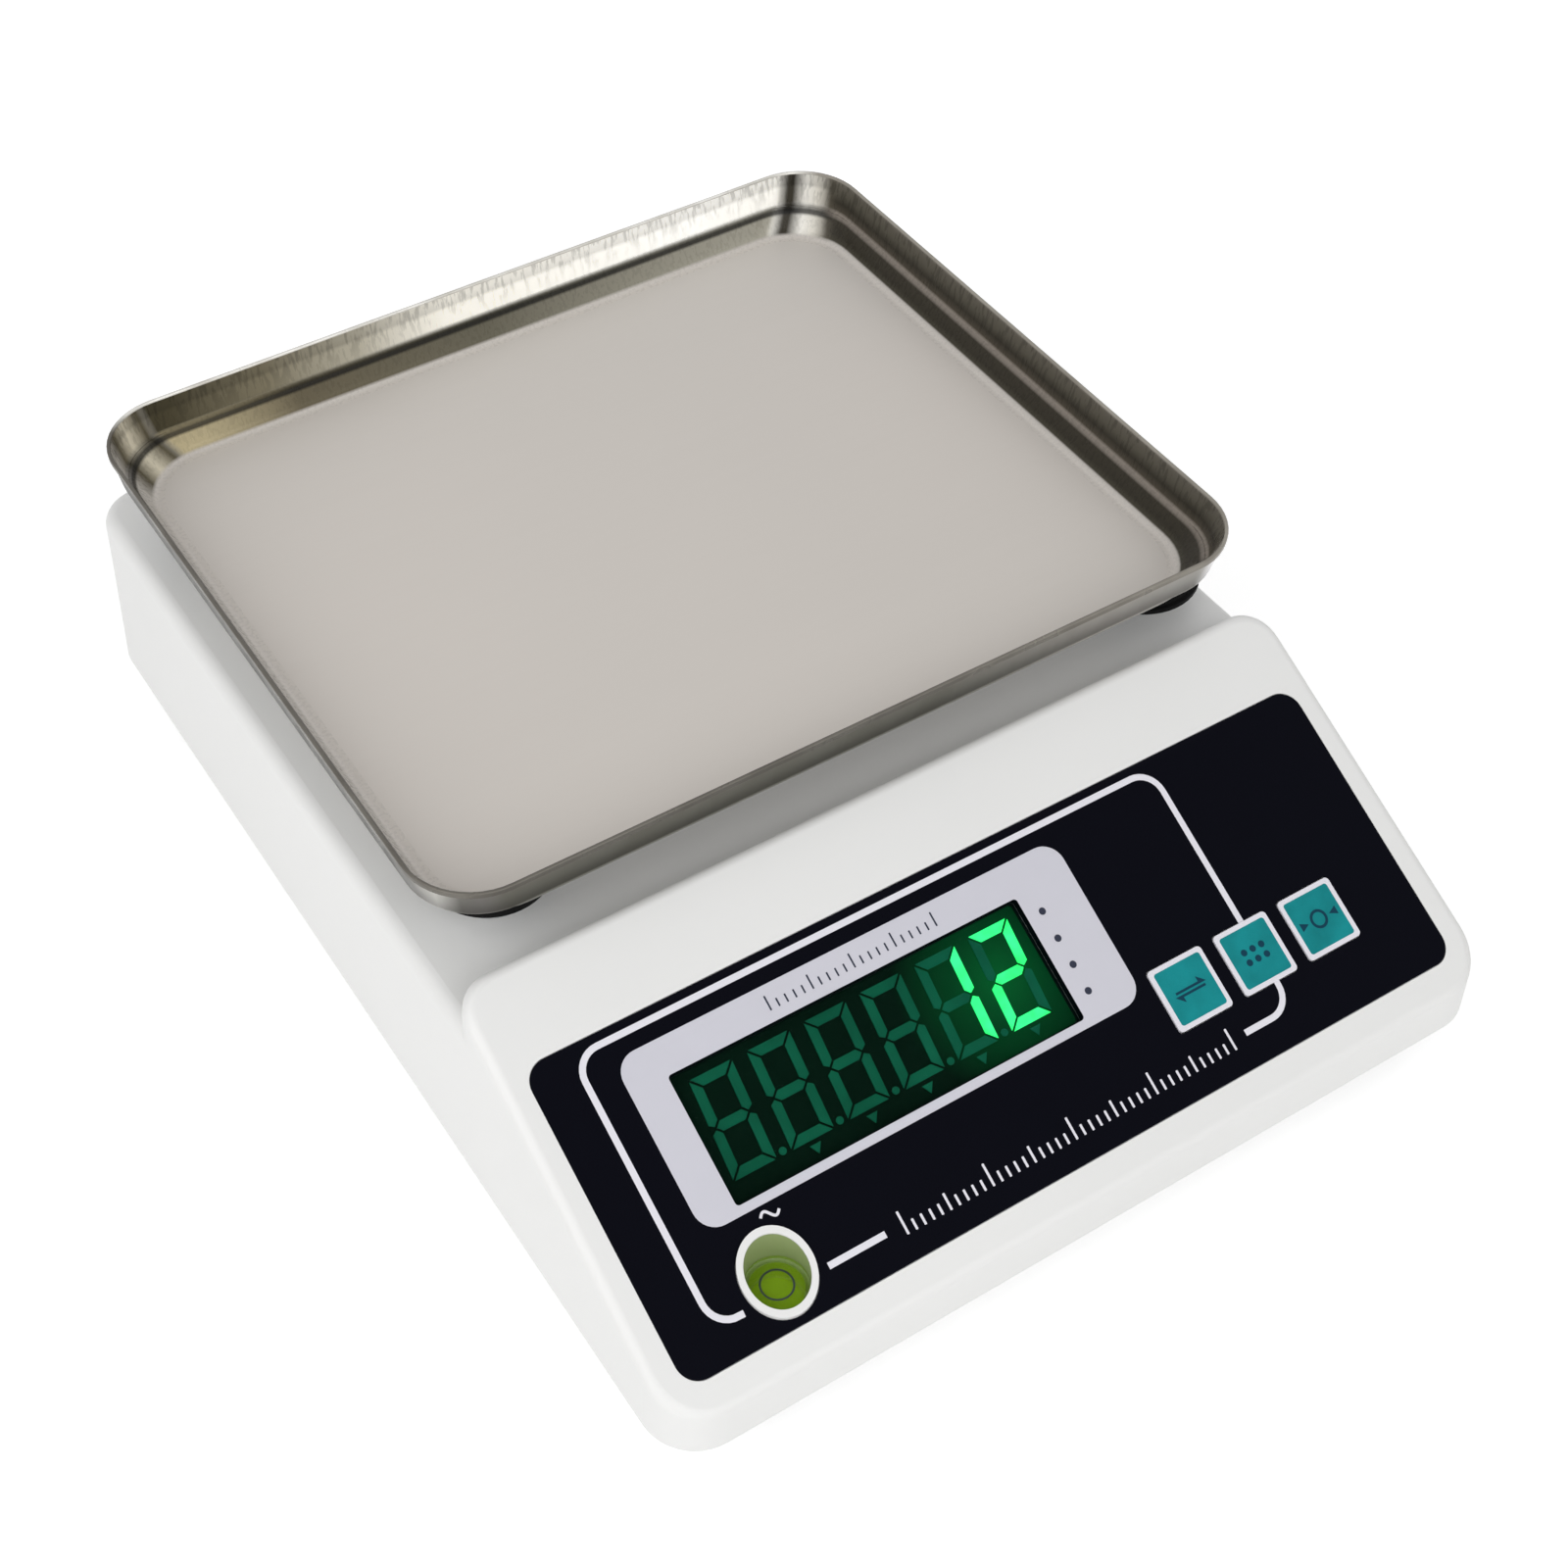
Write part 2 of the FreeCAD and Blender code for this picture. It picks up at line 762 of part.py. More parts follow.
def foot_places():
    return [(sx * foot_x, sy * foot_y) for sy in (-1, 1) for sx in (-1, 1)]


def screw(x, y, z, length, radius, head_radius, head, up):
    """Round-headed screw whose shank starts at z and runs up or down."""
    sign = 1 if up else -1
    shank = post(x, y, min(z, z + sign * length), max(z, z + sign * length), radius)
    cap = post(x, y, min(z, z - sign * head), max(z, z - sign * head), head_radius)
    return fused([shank, cap])


def housing_screws():
    screws = []
    for x, y in housing_screw_places():
        start = base_z + housing_screw_head
        length = boss_top_z + housing_screw_grip - start
        screws.append(screw(x, y, start, length, housing_screw_radius, housing_screw_head_radius,
                            housing_screw_head, True))
    return Part.makeCompound(screws)


def pan_form(grow, floor, top):
    """Stepped tray form; grow moves its walls in by the sheet's thickness."""
    levels = (
        (0, pan_upper_lean + pan_ledge + pan_lower_lean, pan_floor_corner_radius),
        (pan_lower_wall, pan_upper_lean + pan_ledge, pan_ledge_corner_radius),
        (pan_lower_wall + pan_ledge_rise, pan_upper_lean, pan_ledge_corner_radius),
        (pan_lower_wall + pan_ledge_rise + pan_upper_wall, 0, pan_corner_radius),
    )
    wires = []
    for rise, inset, corner in levels:
        shrink = inset + grow
        radius = corner - grow
        wires.append(outline(-pan_width / 2 + shrink, pan_width / 2 - shrink,
                             pan_y - pan_depth / 2 + shrink, pan_y + pan_depth / 2 - shrink,
                             floor + rise, radius, radius))
    form = Part.makeLoft(wires, True, True)
    if top > 0:
        rim = wires[-1]
        form = fused([form, Part.Face(rim).extrude(Vector(0, 0, top))])
    return form


def weighing_pan():
    outside = pan_form(0, pan_z, pan_sheet)
    inside = pan_form(pan_sheet, pan_z + pan_sheet, overrun)
    pan = outside.cut(inside)
    low = [edge for edge in pan.Edges if edge.BoundBox.ZMax < pan_z + pan_sheet / 2]
    pan = pan.makeFillet(pan_bend_radius + pan_sheet, low)
    inner = [edge for edge in pan.Edges
             if abs(edge.BoundBox.ZMin - pan_z - pan_sheet) < pan_sheet / 4
             and edge.BoundBox.ZMax < pan_z + pan_sheet + pan_sheet / 4]
    return pan.makeFillet(pan_bend_radius, inner)


def pan_pads():
    pads = []
    for sx in (-1, 1):
        for sy in (-1, 1):
            pad = post(pad_shift_x + sx * pad_x, pan_y + sy * pad_y, support_top_z, pan_z, pad_radius)
            pads.append(pad.makeChamfer(pad_edge, [edge for edge in pad.Edges if len(edge.Vertexes) == 1]))
    return Part.makeCompound(pads)


def pan_support():
    reach = math.hypot(pad_x, pad_y)
    angle = math.degrees(math.atan2(pad_y, pad_x))
    arms = []
    for turn in (angle, -angle):
        arm = box(-reach, reach, -support_arm_width / 2, support_arm_width / 2, support_z, support_top_z)
        arm.rotate(Vector(0, 0, 0), Vector(0, 0, 1), turn)
        arm.translate(Vector(pad_shift_x, pan_y, 0))
        arms.append(arm)
    for sx in (-1, 1):
        for sy in (-1, 1):
            arms.append(post(pad_shift_x + sx * pad_x, pan_y + sy * pad_y, support_z, support_top_z,
                             support_arm_end_radius))
    hub_y = cell_front_y + support_hub_depth / 2
    arms.append(plate(0, hub_y, support_hub_width, support_hub_depth, support_z, support_top_z,
                      support_hub_radius))
    cross = fused(arms)
    for y in live_screw_rows():
        cross = cross.cut(post(0, y, support_z, support_top_z, cell_live_screw_radius))
    for sx in (-1, 1):
        for sy in (-1, 1):
            x = pad_shift_x + sx * pad_x * support_hole_share
            y = pan_y + sy * pad_y * support_hole_share
            cross = cross.cut(post(x, y, support_z, support_top_z, support_hole_radius))
    return cross


def support_pedestal():
    block = plate(0, cell_front_y + cell_end_pad / 2, pedestal_width, cell_end_pad,
                  cell_top_z, support_z, deck_opening_radius)
    for y in live_screw_rows():
        block = block.cut(post(0, y, cell_top_z, support_z, cell_live_screw_radius))
    return block


def support_screws():
    screws = []
    length = support_top_z - cell_top_z + cell_thread_depth
    for y in live_screw_rows():
        screws.append(screw(0, y, support_top_z, length, cell_live_screw_radius,
                            live_screw_head_radius, live_screw_head, False))
    return Part.makeCompound(screws)


def load_cell():
    half = cell_section / 2
    beam = box(-half, half, cell_front_y, cell_back_y, cell_z, cell_top_z)
    middle_z = cell_z + half
    for side in (-1, 1):
        y = pan_y + side * cell_window_spread / 2
        beam = beam.cut(rod_x(y, middle_z, -half, half, cell_window_radius))
    beam = beam.cut(box(-half, half, pan_y - cell_window_spread / 2, pan_y + cell_window_spread / 2,
                        middle_z - cell_slot / 2, middle_z + cell_slot / 2))
    for y in live_screw_rows():
        beam = beam.cut(post(0, y, cell_top_z - cell_thread_depth, cell_top_z, cell_live_screw_radius))
    for y in fixed_screw_rows():
        beam = beam.cut(post(0, y, cell_z, cell_z + cell_thread_depth, cell_fixed_screw_radius))
    return beam


def gauge_covers():
    covers = []
    for z0, z1 in ((cell_top_z, cell_top_z + gauge_cover_thick), (cell_z - gauge_cover_thick, cell_z)):
        covers.append(plate(0, pan_y, gauge_cover_width, gauge_cover_length, z0, z1, gauge_cover_width / 3))
    return Part.makeCompound(covers)


def cell_spacer():
    half = cell_section / 2
    spacer = box(-half, half, cell_back_y - cell_end_pad, cell_back_y, spacer_z, cell_z)
    for y in fixed_screw_rows():
        spacer = spacer.cut(post(0, y, spacer_z, cell_z, cell_fixed_screw_radius))
    return spacer


def cell_screws():
    screws = []
    start = spacer_z - fixed_screw_shelf
    length = cell_z + cell_thread_depth - start
    for y in fixed_screw_rows():
        screws.append(screw(0, y, start, length, cell_fixed_screw_radius, fixed_screw_head_radius,
                            fixed_screw_head, True))
    return Part.makeCompound(screws)


def hexagon(x, y, z0, z1, across):
    points = []
    for corner in range(6):
        turn = math.radians(60 * corner)
        radius = across / math.sqrt(3)
        points.append(Vector(x + radius * math.cos(turn), y + radius * math.sin(turn), z0))
    return Part.Face(Part.makePolygon(points + [points[0]])).extrude(Vector(0, 0, z1 - z0))


def overload_screw():
    x, y = stop_place()
    return post(x, y, floor_z, cell_z - stop_gap, stop_screw_radius)


def overload_nut():
    x, y = stop_place()
    z = cell_z - stop_boss_below_cell
    nut = hexagon(x, y, z, z + stop_nut_thick, stop_nut_width)
    return nut.cut(post(x, y, z, z + stop_nut_thick, stop_screw_radius))


def panel_overlay():
    sheet = plate(0, 0, panel_width, panel_depth, -panel_thick, 0, panel_corner_radius)
    sheet = sheet.cut(plate(window_x, window_s, window_width, window_depth, -panel_thick, 0,
                            window_corner_radius))
    for x, s in key_places():
        well = key_size + 2 * key_gap
        sheet = sheet.cut(plate(x, s, well, well, -panel_thick, 0, key_corner_radius))
    sheet = on_slope(sheet)
    x, y, z = level_axis()
    return sheet.cut(post(x, y, z - overrun, z + overrun, collar_radius + panel_fit_gap))


def display_window():
    width = window_width + 2 * (window_lip - panel_fit_gap)
    depth = window_depth + 2 * (window_lip - panel_fit_gap)
    return on_slope(plate(window_x, window_s, width, depth, window_under_w, -panel_thick,
                          window_corner_radius + window_lip - panel_fit_gap))


def display_body():
    return on_slope(plate(window_x, window_s, window_width - 2 * display_body_inset,
                          window_depth - 2 * display_body_inset, board_top_w,
                          display_top_w, window_corner_radius))


def slanted(x, s):
    """Leans a digit's point by the slant, about the digit's middle."""
    return x + s * math.tan(math.radians(digit_slant_deg)), s


def segment(kind):
    """Corner points of one of the seven bars, from the digit's centre."""
    w = segment_width
    right = digit_width / 2
    top = digit_height / 2
    g = segment_gap
    bars = {
        "top": ((-right + g, top), (right - g, top), (right - w - g, top - w), (-right + w + g, top - w)),
        "bottom": ((-right + w + g, -top + w), (right - w - g, -top + w), (right - g, -top), (-right + g, -top)),
        "middle": ((-right + w / 2 + g, 0), (-right + w + g, w / 2), (right - w - g, w / 2),
                   (right - w / 2 - g, 0), (right - w - g, -w / 2), (-right + w + g, -w / 2)),
        "upper_right": ((right, top - g), (right, w / 2 - g + g), (right - w / 2, g), (right - w, w / 2 + g),
                        (right - w, top - w - g)),
    }
    if kind in bars:
        return bars[kind]
    mirror_x = -1 if kind.endswith("left") else 1
    mirror_s = -1 if kind.startswith("lower") else 1
    return [(x * mirror_x, s * mirror_s) for x, s in bars["upper_right"]]


SEGMENTS = ("top", "upper_right", "lower_right", "bottom", "lower_left", "upper_left", "middle")
LIT = {
    4: ("upper_right", "lower_right"),
    5: ("top", "upper_right", "middle", "lower_left", "bottom"),
}


def digit_centre(index):
    x = window_x + (index - (digit_count - 1) / 2) * digit_pitch
    return x, window_s + digit_raise


def raised(points, x, s):
    """Thin prism on the display's face from points about x, s."""
    corners = []
    for px, ps in points:
        lx, ls = slanted(px, ps)
        corners.append(Vector(x + lx, s + ls, display_top_w))
    return Part.Face(Part.makePolygon(corners + [corners[0]])).extrude(Vector(0, 0, segment_thick))


def display_segments(lit):
    bars = []
    for index in range(digit_count):
        x, s = digit_centre(index)
        for kind in SEGMENTS:
            if (kind in LIT.get(index, ())) == lit:
                bars.append(raised(segment(kind), x, s))
        if lit:
            continue
        px, ps = slanted(digit_pitch / 2, -digit_height / 2 + point_radius)
        if index < digit_count - 1:
            bars.append(post(x + px, s + ps, display_top_w, display_top_w + segment_thick, point_radius))
        if index > 0:
            top = -digit_height / 2 - marker_drop
            marker = ((-marker_width / 2, top), (0, top - marker_height), (marker_width / 2, top))
            bars.append(raised(marker, x, s))
    return on_slope(Part.makeCompound(bars))


def display_board():
    board = plate(0, display_board_s, display_board_width, display_board_depth, board_under_w,
                  board_top_w, display_board_radius)
    for x, s in display_screw_places():
        board = board.cut(post(x, s, board_under_w, board_top_w, display_screw_radius))
    board = on_slope(board)
    x, y, z = level_axis()
    return board.cut(post(x, y, z - overrun, z + overrun, collar_radius + level_board_gap))


def display_screws():
    screws = []
    for x, s in display_screw_places():
        length = board_thick + display_screw_grip
        screws.append(screw(x, s, board_under_w, length, display_screw_radius,
                            display_screw_head_radius, display_screw_head, True))
    return on_slope(Part.makeCompound(screws))


def key_pad(index):
    x, s = key_places()[index]
    top = plate(x, s, key_size, key_size, key_proud - key_plate, key_proud, key_corner_radius)
    stem = post(x, s, button_top_w, key_proud - key_plate, key_stem_radius)
    return on_slope(fused([top, stem]))


def key_switches():
    bodies = []
    for x, s in key_places():
        body = plate(x, s, switch_size, switch_size, board_top_w, switch_top_w, switch_size / 12)
        bodies.append(body.cut(post(x, s, switch_top_w - switch_well_depth, switch_top_w,
                                    switch_button_radius + switch_button_gap)))
    return on_slope(Part.makeCompound(bodies))


def switch_button(index):
    x, s = key_places()[index]
    return on_slope(post(x, s, switch_top_w - switch_button_hidden, button_top_w, switch_button_radius))


def level_vial():
    """Clear cup and cap around the liquid."""
    x, y, _ = level_axis()
    top = vial_top_height()
    radius = collar_radius - collar_wall - vial_gap
    cup = post(x, y, top - vial_height, top, radius)
    return cup.cut(post(x, y, top - vial_height + vial_wall, top - vial_cap, radius - vial_wall))


def level_liquid():
    """The liquid fills the cup apart from the bubble under the cap."""
    x, y, _ = level_axis()
    top = vial_top_height()
    radius = collar_radius - collar_wall - vial_gap - vial_wall
    liquid = post(x, y, top - vial_height + vial_wall, top - vial_cap, radius)
    bubble = Part.makeSphere(bubble_radius)
    scale = FreeCAD.Matrix()
    scale.scale(Vector(1, 1, bubble_height / bubble_radius))
    bubble = bubble.transformGeometry(scale)
    bubble.translate(Vector(x, y + bubble_shift, top - vial_cap))
    return liquid.cut(bubble)


def foot_pad(x, y):
    pad = post(x, y, 0, foot_pad_height, foot_pad_radius)
    pad = pad.makeChamfer(foot_pad_edge, [edge for edge in pad.Edges if len(edge.Vertexes) == 1])
    return pad.cut(post(x, y, foot_pad_socket_floor, foot_pad_height, foot_screw_radius + foot_socket_gap))


def foot_screw(x, y):
    top = foot_boss_z - foot_screw_below_boss
    stem = post(x, y, foot_pad_socket_floor + foot_tip_gap, top, foot_screw_radius)
    wheel_z = foot_pad_height + foot_wheel_gap
    wheel = post(x, y, wheel_z, wheel_z + foot_wheel_height, foot_wheel_radius)
    for groove in range(foot_wheel_grooves):
        turn = 2 * math.pi * groove / foot_wheel_grooves
        wheel = wheel.cut(post(x + foot_wheel_radius * math.cos(turn), y + foot_wheel_radius * math.sin(turn),
                               wheel_z, wheel_z + foot_wheel_height, foot_wheel_groove_radius))
    return fused([stem, wheel])


def foot_inserts():
    rings = []
    for x, y in foot_places():
        ring = post(x, y, base_z, foot_boss_z, foot_insert_radius)
        rings.append(ring.cut(post(x, y, base_z, foot_boss_z, foot_screw_radius + foot_thread_gap)))
    return Part.makeCompound(rings)


def battery():
    z0 = base_z + battery_lift
    return plate(battery_x, battery_y, battery_width, battery_length, z0, z0 + battery_height, battery_seam)


def battery_foam():
    z0 = base_z + battery_lift + battery_height
    return plate(battery_x, battery_y, battery_width / 2, battery_length / 2, z0, z0 + battery_foam_thick,
                 battery_seam)


def battery_cover():
    top = base_z - cover_gap
    half_x = cover_half_x()
    half_y = cover_half_y()
    lid = box(battery_x - half_x, battery_x + half_x, battery_y - half_y, battery_y + half_y,
              top - cover_plate, top)
    start = battery_x - half_x + cover_grip_inset
    for index in range(cover_grip_count):
        x = start + index * cover_grip_pitch
        lid = lid.cut(box(x, x + cover_grip_width, battery_y - cover_grip_length / 2,
                          battery_y + cover_grip_length / 2, top - cover_plate,
                          top - cover_plate + cover_grip_depth))
    return lid


def main_board():
    z = floor_z + main_board_boss_height
    board = plate(main_board_x, main_board_y, main_board_width, main_board_length, z, z + board_thick,
                  display_board_radius)
    for x, y in main_screw_places():
        board = board.cut(post(x, y, z, z + board_thick, main_screw_radius))
    return board


def main_board_screws():
    screws = []
    for x, y in main_screw_places():
        top = floor_z + main_board_boss_height + board_thick
        screws.append(screw(x, y, top, board_thick + main_screw_grip, main_screw_radius,
                            main_screw_head_radius, main_screw_head, False))
    return Part.makeCompound(screws)


def board_block(offset_x, offset_y, width, length, height):
    """Part on the main board, given by its place from the board's centre."""
    z = floor_z + main_board_boss_height + board_thick
    x = main_board_x + offset_x
    y = main_board_y + offset_y
    return box(x - width / 2, x + width / 2, y - length / 2, y + length / 2, z, z + height)


def board_parts():
    z = floor_z + main_board_boss_height + board_thick
    parts = [
        board_block(0, shield_offset_y, shield_size, shield_size, shield_height),
        board_block(0, chip_offset_y, chip_width, chip_length, chip_height),
    ]
    for index in range(2):
        x = main_board_x + capacitor_offset_x
        y = main_board_y + capacitor_offset_y - index * capacitor_pitch
        parts.append(post(x, y, z, z + capacitor_height, capacitor_radius))
    return Part.makeCompound(parts)


def board_connectors():
    parts = []
    for offset_x, offset_y in ((battery_connector_x, -end_connector_y), (panel_connector_x, -end_connector_y),
                               (power_connector_x, end_connector_y)):
        parts.append(board_block(offset_x, offset_y, connector_width, connector_length, connector_height))
    parts.append(board_block(cell_connector_x, cell_connector_y, connector_length, connector_width,
                             connector_height))
    return Part.makeCompound(parts)


def lead(points):
    """Round lead along straight runs, with a ball at each bend."""
    pieces = []
    for start, end in zip(points, points[1:]):
        run = end - start
        pieces.append(Part.makeCylinder(lead_radius, run.Length, start, run))
    for bend in points[1:-1]:
        pieces.append(Part.makeSphere(lead_radius, bend))
    return fused(pieces)


def lead_height():
    return floor_z + main_board_boss_height + board_thick + lead_above_board


def battery_lead():
    """Lead from the battery past the front of the overload stop to the main board."""
    z = battery_lead_z
    x0 = battery_x + battery_width / 2
    x1 = main_board_x + battery_connector_x - connector_width / 2
    y1 = main_board_y - end_connector_y
    stop_x, stop_y = stop_place()
    clear = stop_boss_radius + lead_radius + battery_lead_gap
    return lead([
        Vector(x0, battery_lead_y, z),
        Vector(x0 + battery_lead_out, battery_lead_y, z),
        Vector(stop_x - clear, stop_y - clear, z),
        Vector(stop_x + clear, stop_y - clear, lead_height()),
        Vector(x1 - battery_lead_in, y1, lead_height()),
        Vector(x1, y1, lead_height()),
    ])


def cell_lead():
    x0 = cell_section / 2
    y0 = cell_back_y - cell_lead_from_back
    y1 = main_board_y + cell_connector_y
    return lead([
        Vector(x0, y0, cell_z + cell_section / 2),
        Vector(x0 + cell_lead_out, y0, cell_z + cell_section / 2),
        Vector(x0 + cell_lead_out, y1, lead_height()),
        Vector(main_board_x + cell_connector_x - connector_length / 2, y1, lead_height()),
    ])


def power_leads():
    tag_end = rear_seat_y() + switch_bezel_thick - switch_case_depth - switch_tag_length
    jack_end = rear_seat_y() + jack_flange_thick - jack_barrel_depth
    near = switch_x - switch_tag_spread / 2
    far = switch_x + switch_tag_spread / 2
    loop_y = tag_end - power_lead_slack
    board_x = main_board_x + power_connector_x
    board_y = main_board_y + end_connector_y + connector_length / 2
    first = lead([
        Vector(jack_x, jack_end, fitting_z),
        Vector(jack_x, loop_y, fitting_z),
        Vector(near, loop_y, fitting_z),
        Vector(near, tag_end, fitting_z),
    ])
    second = lead([
        Vector(far, tag_end, fitting_z),
        Vector(far, loop_y, fitting_z),
        Vector(board_x, board_y + power_lead_drop, lead_height()),
        Vector(board_x, board_y, lead_height()),
    ])
    return Part.makeCompound([first, second])


def panel_header():
    x = main_board_x + panel_connector_x
    return on_slope(box(x - header_width / 2, x + header_width / 2, header_s - header_length / 2,
                        header_s + header_length / 2, board_under_w - header_height, board_under_w))


def panel_ribbon():
    """Flat ribbon from the display board's header to the main board."""
    x = main_board_x + panel_connector_x
    z1 = lead_height()
    y1 = main_board_y - end_connector_y - connector_length / 2
    down = Vector(0, slope_sin, -slope_cos)
    start = SLOPE.multVec(Vector(0, header_s, board_under_w - header_height))
    points = [start, start + down * ribbon_start_gap, Vector(0, y1 - ribbon_slack, z1), Vector(0, y1, z1)]
    pieces = []
    for near, far in zip(points, points[1:]):
        run = far - near
        side = Vector(0, -run.z, run.y) * (ribbon_thick / 2 / run.Length)
        corners = [near + side, far + side, far - side, near - side]
        face = Part.Face(Part.makePolygon(corners + [corners[0]]))
        face.translate(Vector(x - ribbon_width / 2, 0, 0))
        pieces.append(face.extrude(Vector(ribbon_width, 0, 0)))
    for bend in points[1:-1]:
        pieces.append(rod_x(bend.y, bend.z, x - ribbon_width / 2, x + ribbon_width / 2, ribbon_thick / 2))
    return fused(pieces)


def buzzer():
    z = floor_z + main_board_boss_height + board_thick
    x = main_board_x + buzzer_offset_x
    y = main_board_y + buzzer_offset_y
    can = post(x, y, z, z + buzzer_height, buzzer_radius)
    top = z + buzzer_height
    return can.cut(post(x, y, top - buzzer_hole_depth, top, buzzer_hole_radius))


def power_switch():
    seat = rear_seat_y()
    face = seat + switch_bezel_thick
    half_x = switch_bezel_width / 2
    half_z = switch_bezel_height / 2
    bezel = box(switch_x - half_x, switch_x + half_x, seat, face, fitting_z - half_z, fitting_z + half_z)
    case = box(switch_x - switch_case_width / 2, switch_x + switch_case_width / 2,
               face - switch_case_depth, face,
               fitting_z - switch_case_height / 2, fitting_z + switch_case_height / 2)
    body = fused([bezel, case])
    well_x = rocker_width / 2 + rocker_gap
    well_z = rocker_height / 2 + rocker_gap
    body = body.cut(box(switch_x - well_x, switch_x + well_x, face - rocker_well, face + overrun,
                        fitting_z - well_z, fitting_z + well_z))
    axis_y = face - rocker_pin_depth
    reach = rocker_height / 2 + rocker_gap + rocker_pin_stub
    body = body.cut(Part.makeCylinder(rocker_pin_radius + rocker_pin_gap, 2 * reach,
                                      Vector(switch_x, axis_y, fitting_z - reach)))
    tags = []
    back = face - switch_case_depth
    for side in (-1, 1):
        x = switch_x + side * switch_tag_spread / 2
        tags.append(box(x - switch_tag_thick / 2, x + switch_tag_thick / 2, back - switch_tag_length, back,
                        fitting_z - switch_tag_width / 2, fitting_z + switch_tag_width / 2))
    return fused([body] + tags)


def power_rocker():
    """Rocker with two faces that meet at a shallow ridge, shown in its on position."""
    face = rear_seat_y() + switch_bezel_thick
    half_x = rocker_width / 2
    lean = math.tan(math.radians(rocker_tilt_deg)) * half_x
    ridge = face + rocker_proud - lean
    low = face - rocker_depth
    points = (
        Vector(switch_x - half_x, low, fitting_z - rocker_height / 2),
        Vector(switch_x - half_x, ridge + lean, fitting_z - rocker_height / 2),
        Vector(switch_x, ridge, fitting_z - rocker_height / 2),
        Vector(switch_x + half_x, ridge + lean, fitting_z - rocker_height / 2),
        Vector(switch_x + half_x, low, fitting_z - rocker_height / 2),
    )
    rocker = Part.Face(Part.makePolygon(list(points) + [points[0]])).extrude(Vector(0, 0, rocker_height))
    axis_y = face - rocker_pin_depth
    reach = rocker_height / 2 + rocker_gap + rocker_pin_stub - rocker_pin_gap
    pin = Part.makeCylinder(rocker_pin_radius, 2 * reach, Vector(switch_x, axis_y, fitting_z - reach))
    rocker = fused([rocker, pin])
    rocker.rotate(Vector(switch_x, axis_y, fitting_z), Vector(0, 0, 1), rocker_tilt_deg)
    return rocker


def power_jack():
    seat = rear_seat_y()
    face = seat + jack_flange_thick
    body = fused([
        rod_y(jack_x, fitting_z, seat, face, jack_flange_radius),
        rod_y(jack_x, fitting_z, face - jack_barrel_depth, face, jack_barrel_radius),
    ])
    body = body.cut(rod_y(jack_x, fitting_z, face - jack_bore_depth, face, jack_bore_radius))
    pin = rod_y(jack_x, fitting_z, face - jack_barrel_depth, face - jack_bore_depth + jack_pin_length,
                jack_pin_radius)
    return fused([body, pin])


def jack_nut():
    inner = rear_seat_y() - wall
    nut = hexagon(0, 0, 0, jack_nut_thick, jack_nut_width)
    nut = nut.cut(post(0, 0, 0, jack_nut_thick, jack_barrel_radius))
    nut.rotate(Vector(0, 0, 0), Vector(1, 0, 0), 90)
    nut.translate(Vector(jack_x, inner, fitting_z))
    return nut


def all_parts():
    parts = {
        "upper_housing": upper_housing(),
        "lower_housing": lower_housing(),
        "housing_screws": housing_screws(),
        "weighing_pan": weighing_pan(),
        "pan_pads": pan_pads(),
        "pan_support": pan_support(),
        "support_pedestal": support_pedestal(),
        "support_screws": support_screws(),
        "load_cell": load_cell(),
        "gauge_covers": gauge_covers(),
        "load_cell_spacer": cell_spacer(),
        "load_cell_screws": cell_screws(),
        "overload_screw": overload_screw(),
        "overload_nut": overload_nut(),
        "panel_overlay": panel_overlay(),
        "display_window": display_window(),
        "display_body": display_body(),
        "display_segments": display_segments(False),
        "display_segments_lit": display_segments(True),
        "display_board": display_board(),
        "display_board_screws": display_screws(),
        "key_switches": key_switches(),
        "level_vial": level_vial(),
        "level_liquid": level_liquid(),
        "foot_inserts": foot_inserts(),
        "battery": battery(),
        "battery_foam": battery_foam(),
        "battery_cover": battery_cover(),
        "main_board": main_board(),
        "main_board_screws": main_board_screws(),
        "board_parts": board_parts(),
        "board_connectors": board_connectors(),
        "buzzer": buzzer(),
        "battery_lead": battery_lead(),
        "cell_lead": cell_lead(),
        "power_leads": power_leads(),
        "panel_header": panel_header(),
        "panel_ribbon": panel_ribbon(),
        "power_switch": power_switch(),
        "power_rocker": power_rocker(),
        "power_jack": power_jack(),
        "jack_nut": jack_nut(),
    }
    for index, name in enumerate(key_names):
        parts["key_" + name] = key_pad(index)
        parts["switch_button_" + name] = switch_button(index)
    for name, (x, y) in zip(("front_left", "front_right", "rear_left", "rear_right"), foot_places()):
        parts["foot_pad_" + name] = foot_pad(x, y)
        parts["foot_screw_" + name] = foot_screw(x, y)
    return parts


def main():
    os.makedirs("parts", exist_ok=True)
    for name, shape in all_parts().items():
        shape.exportStep("parts/" + name + ".step")
        print(name, "solids", len(shape.Solids), "volume", round(shape.Volume, 1), "valid", shape.isValid())


if __name__ == "__main__":
    main()
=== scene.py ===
"""Looks of the electronic laboratory balance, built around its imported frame."""

import math

import bpy
from mathutils import Matrix, Vector


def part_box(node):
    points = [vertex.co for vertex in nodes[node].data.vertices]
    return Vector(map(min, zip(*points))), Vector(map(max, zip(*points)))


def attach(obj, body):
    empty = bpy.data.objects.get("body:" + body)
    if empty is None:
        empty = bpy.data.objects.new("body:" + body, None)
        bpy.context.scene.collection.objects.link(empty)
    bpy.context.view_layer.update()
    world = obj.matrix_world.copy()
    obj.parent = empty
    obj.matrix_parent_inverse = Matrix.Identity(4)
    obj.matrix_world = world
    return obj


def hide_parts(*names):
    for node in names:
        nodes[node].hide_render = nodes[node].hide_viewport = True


MM = 0.001
KEYS = ("unit", "count", "tare")
FEET = ("front_left", "front_right", "rear_left", "rear_right")

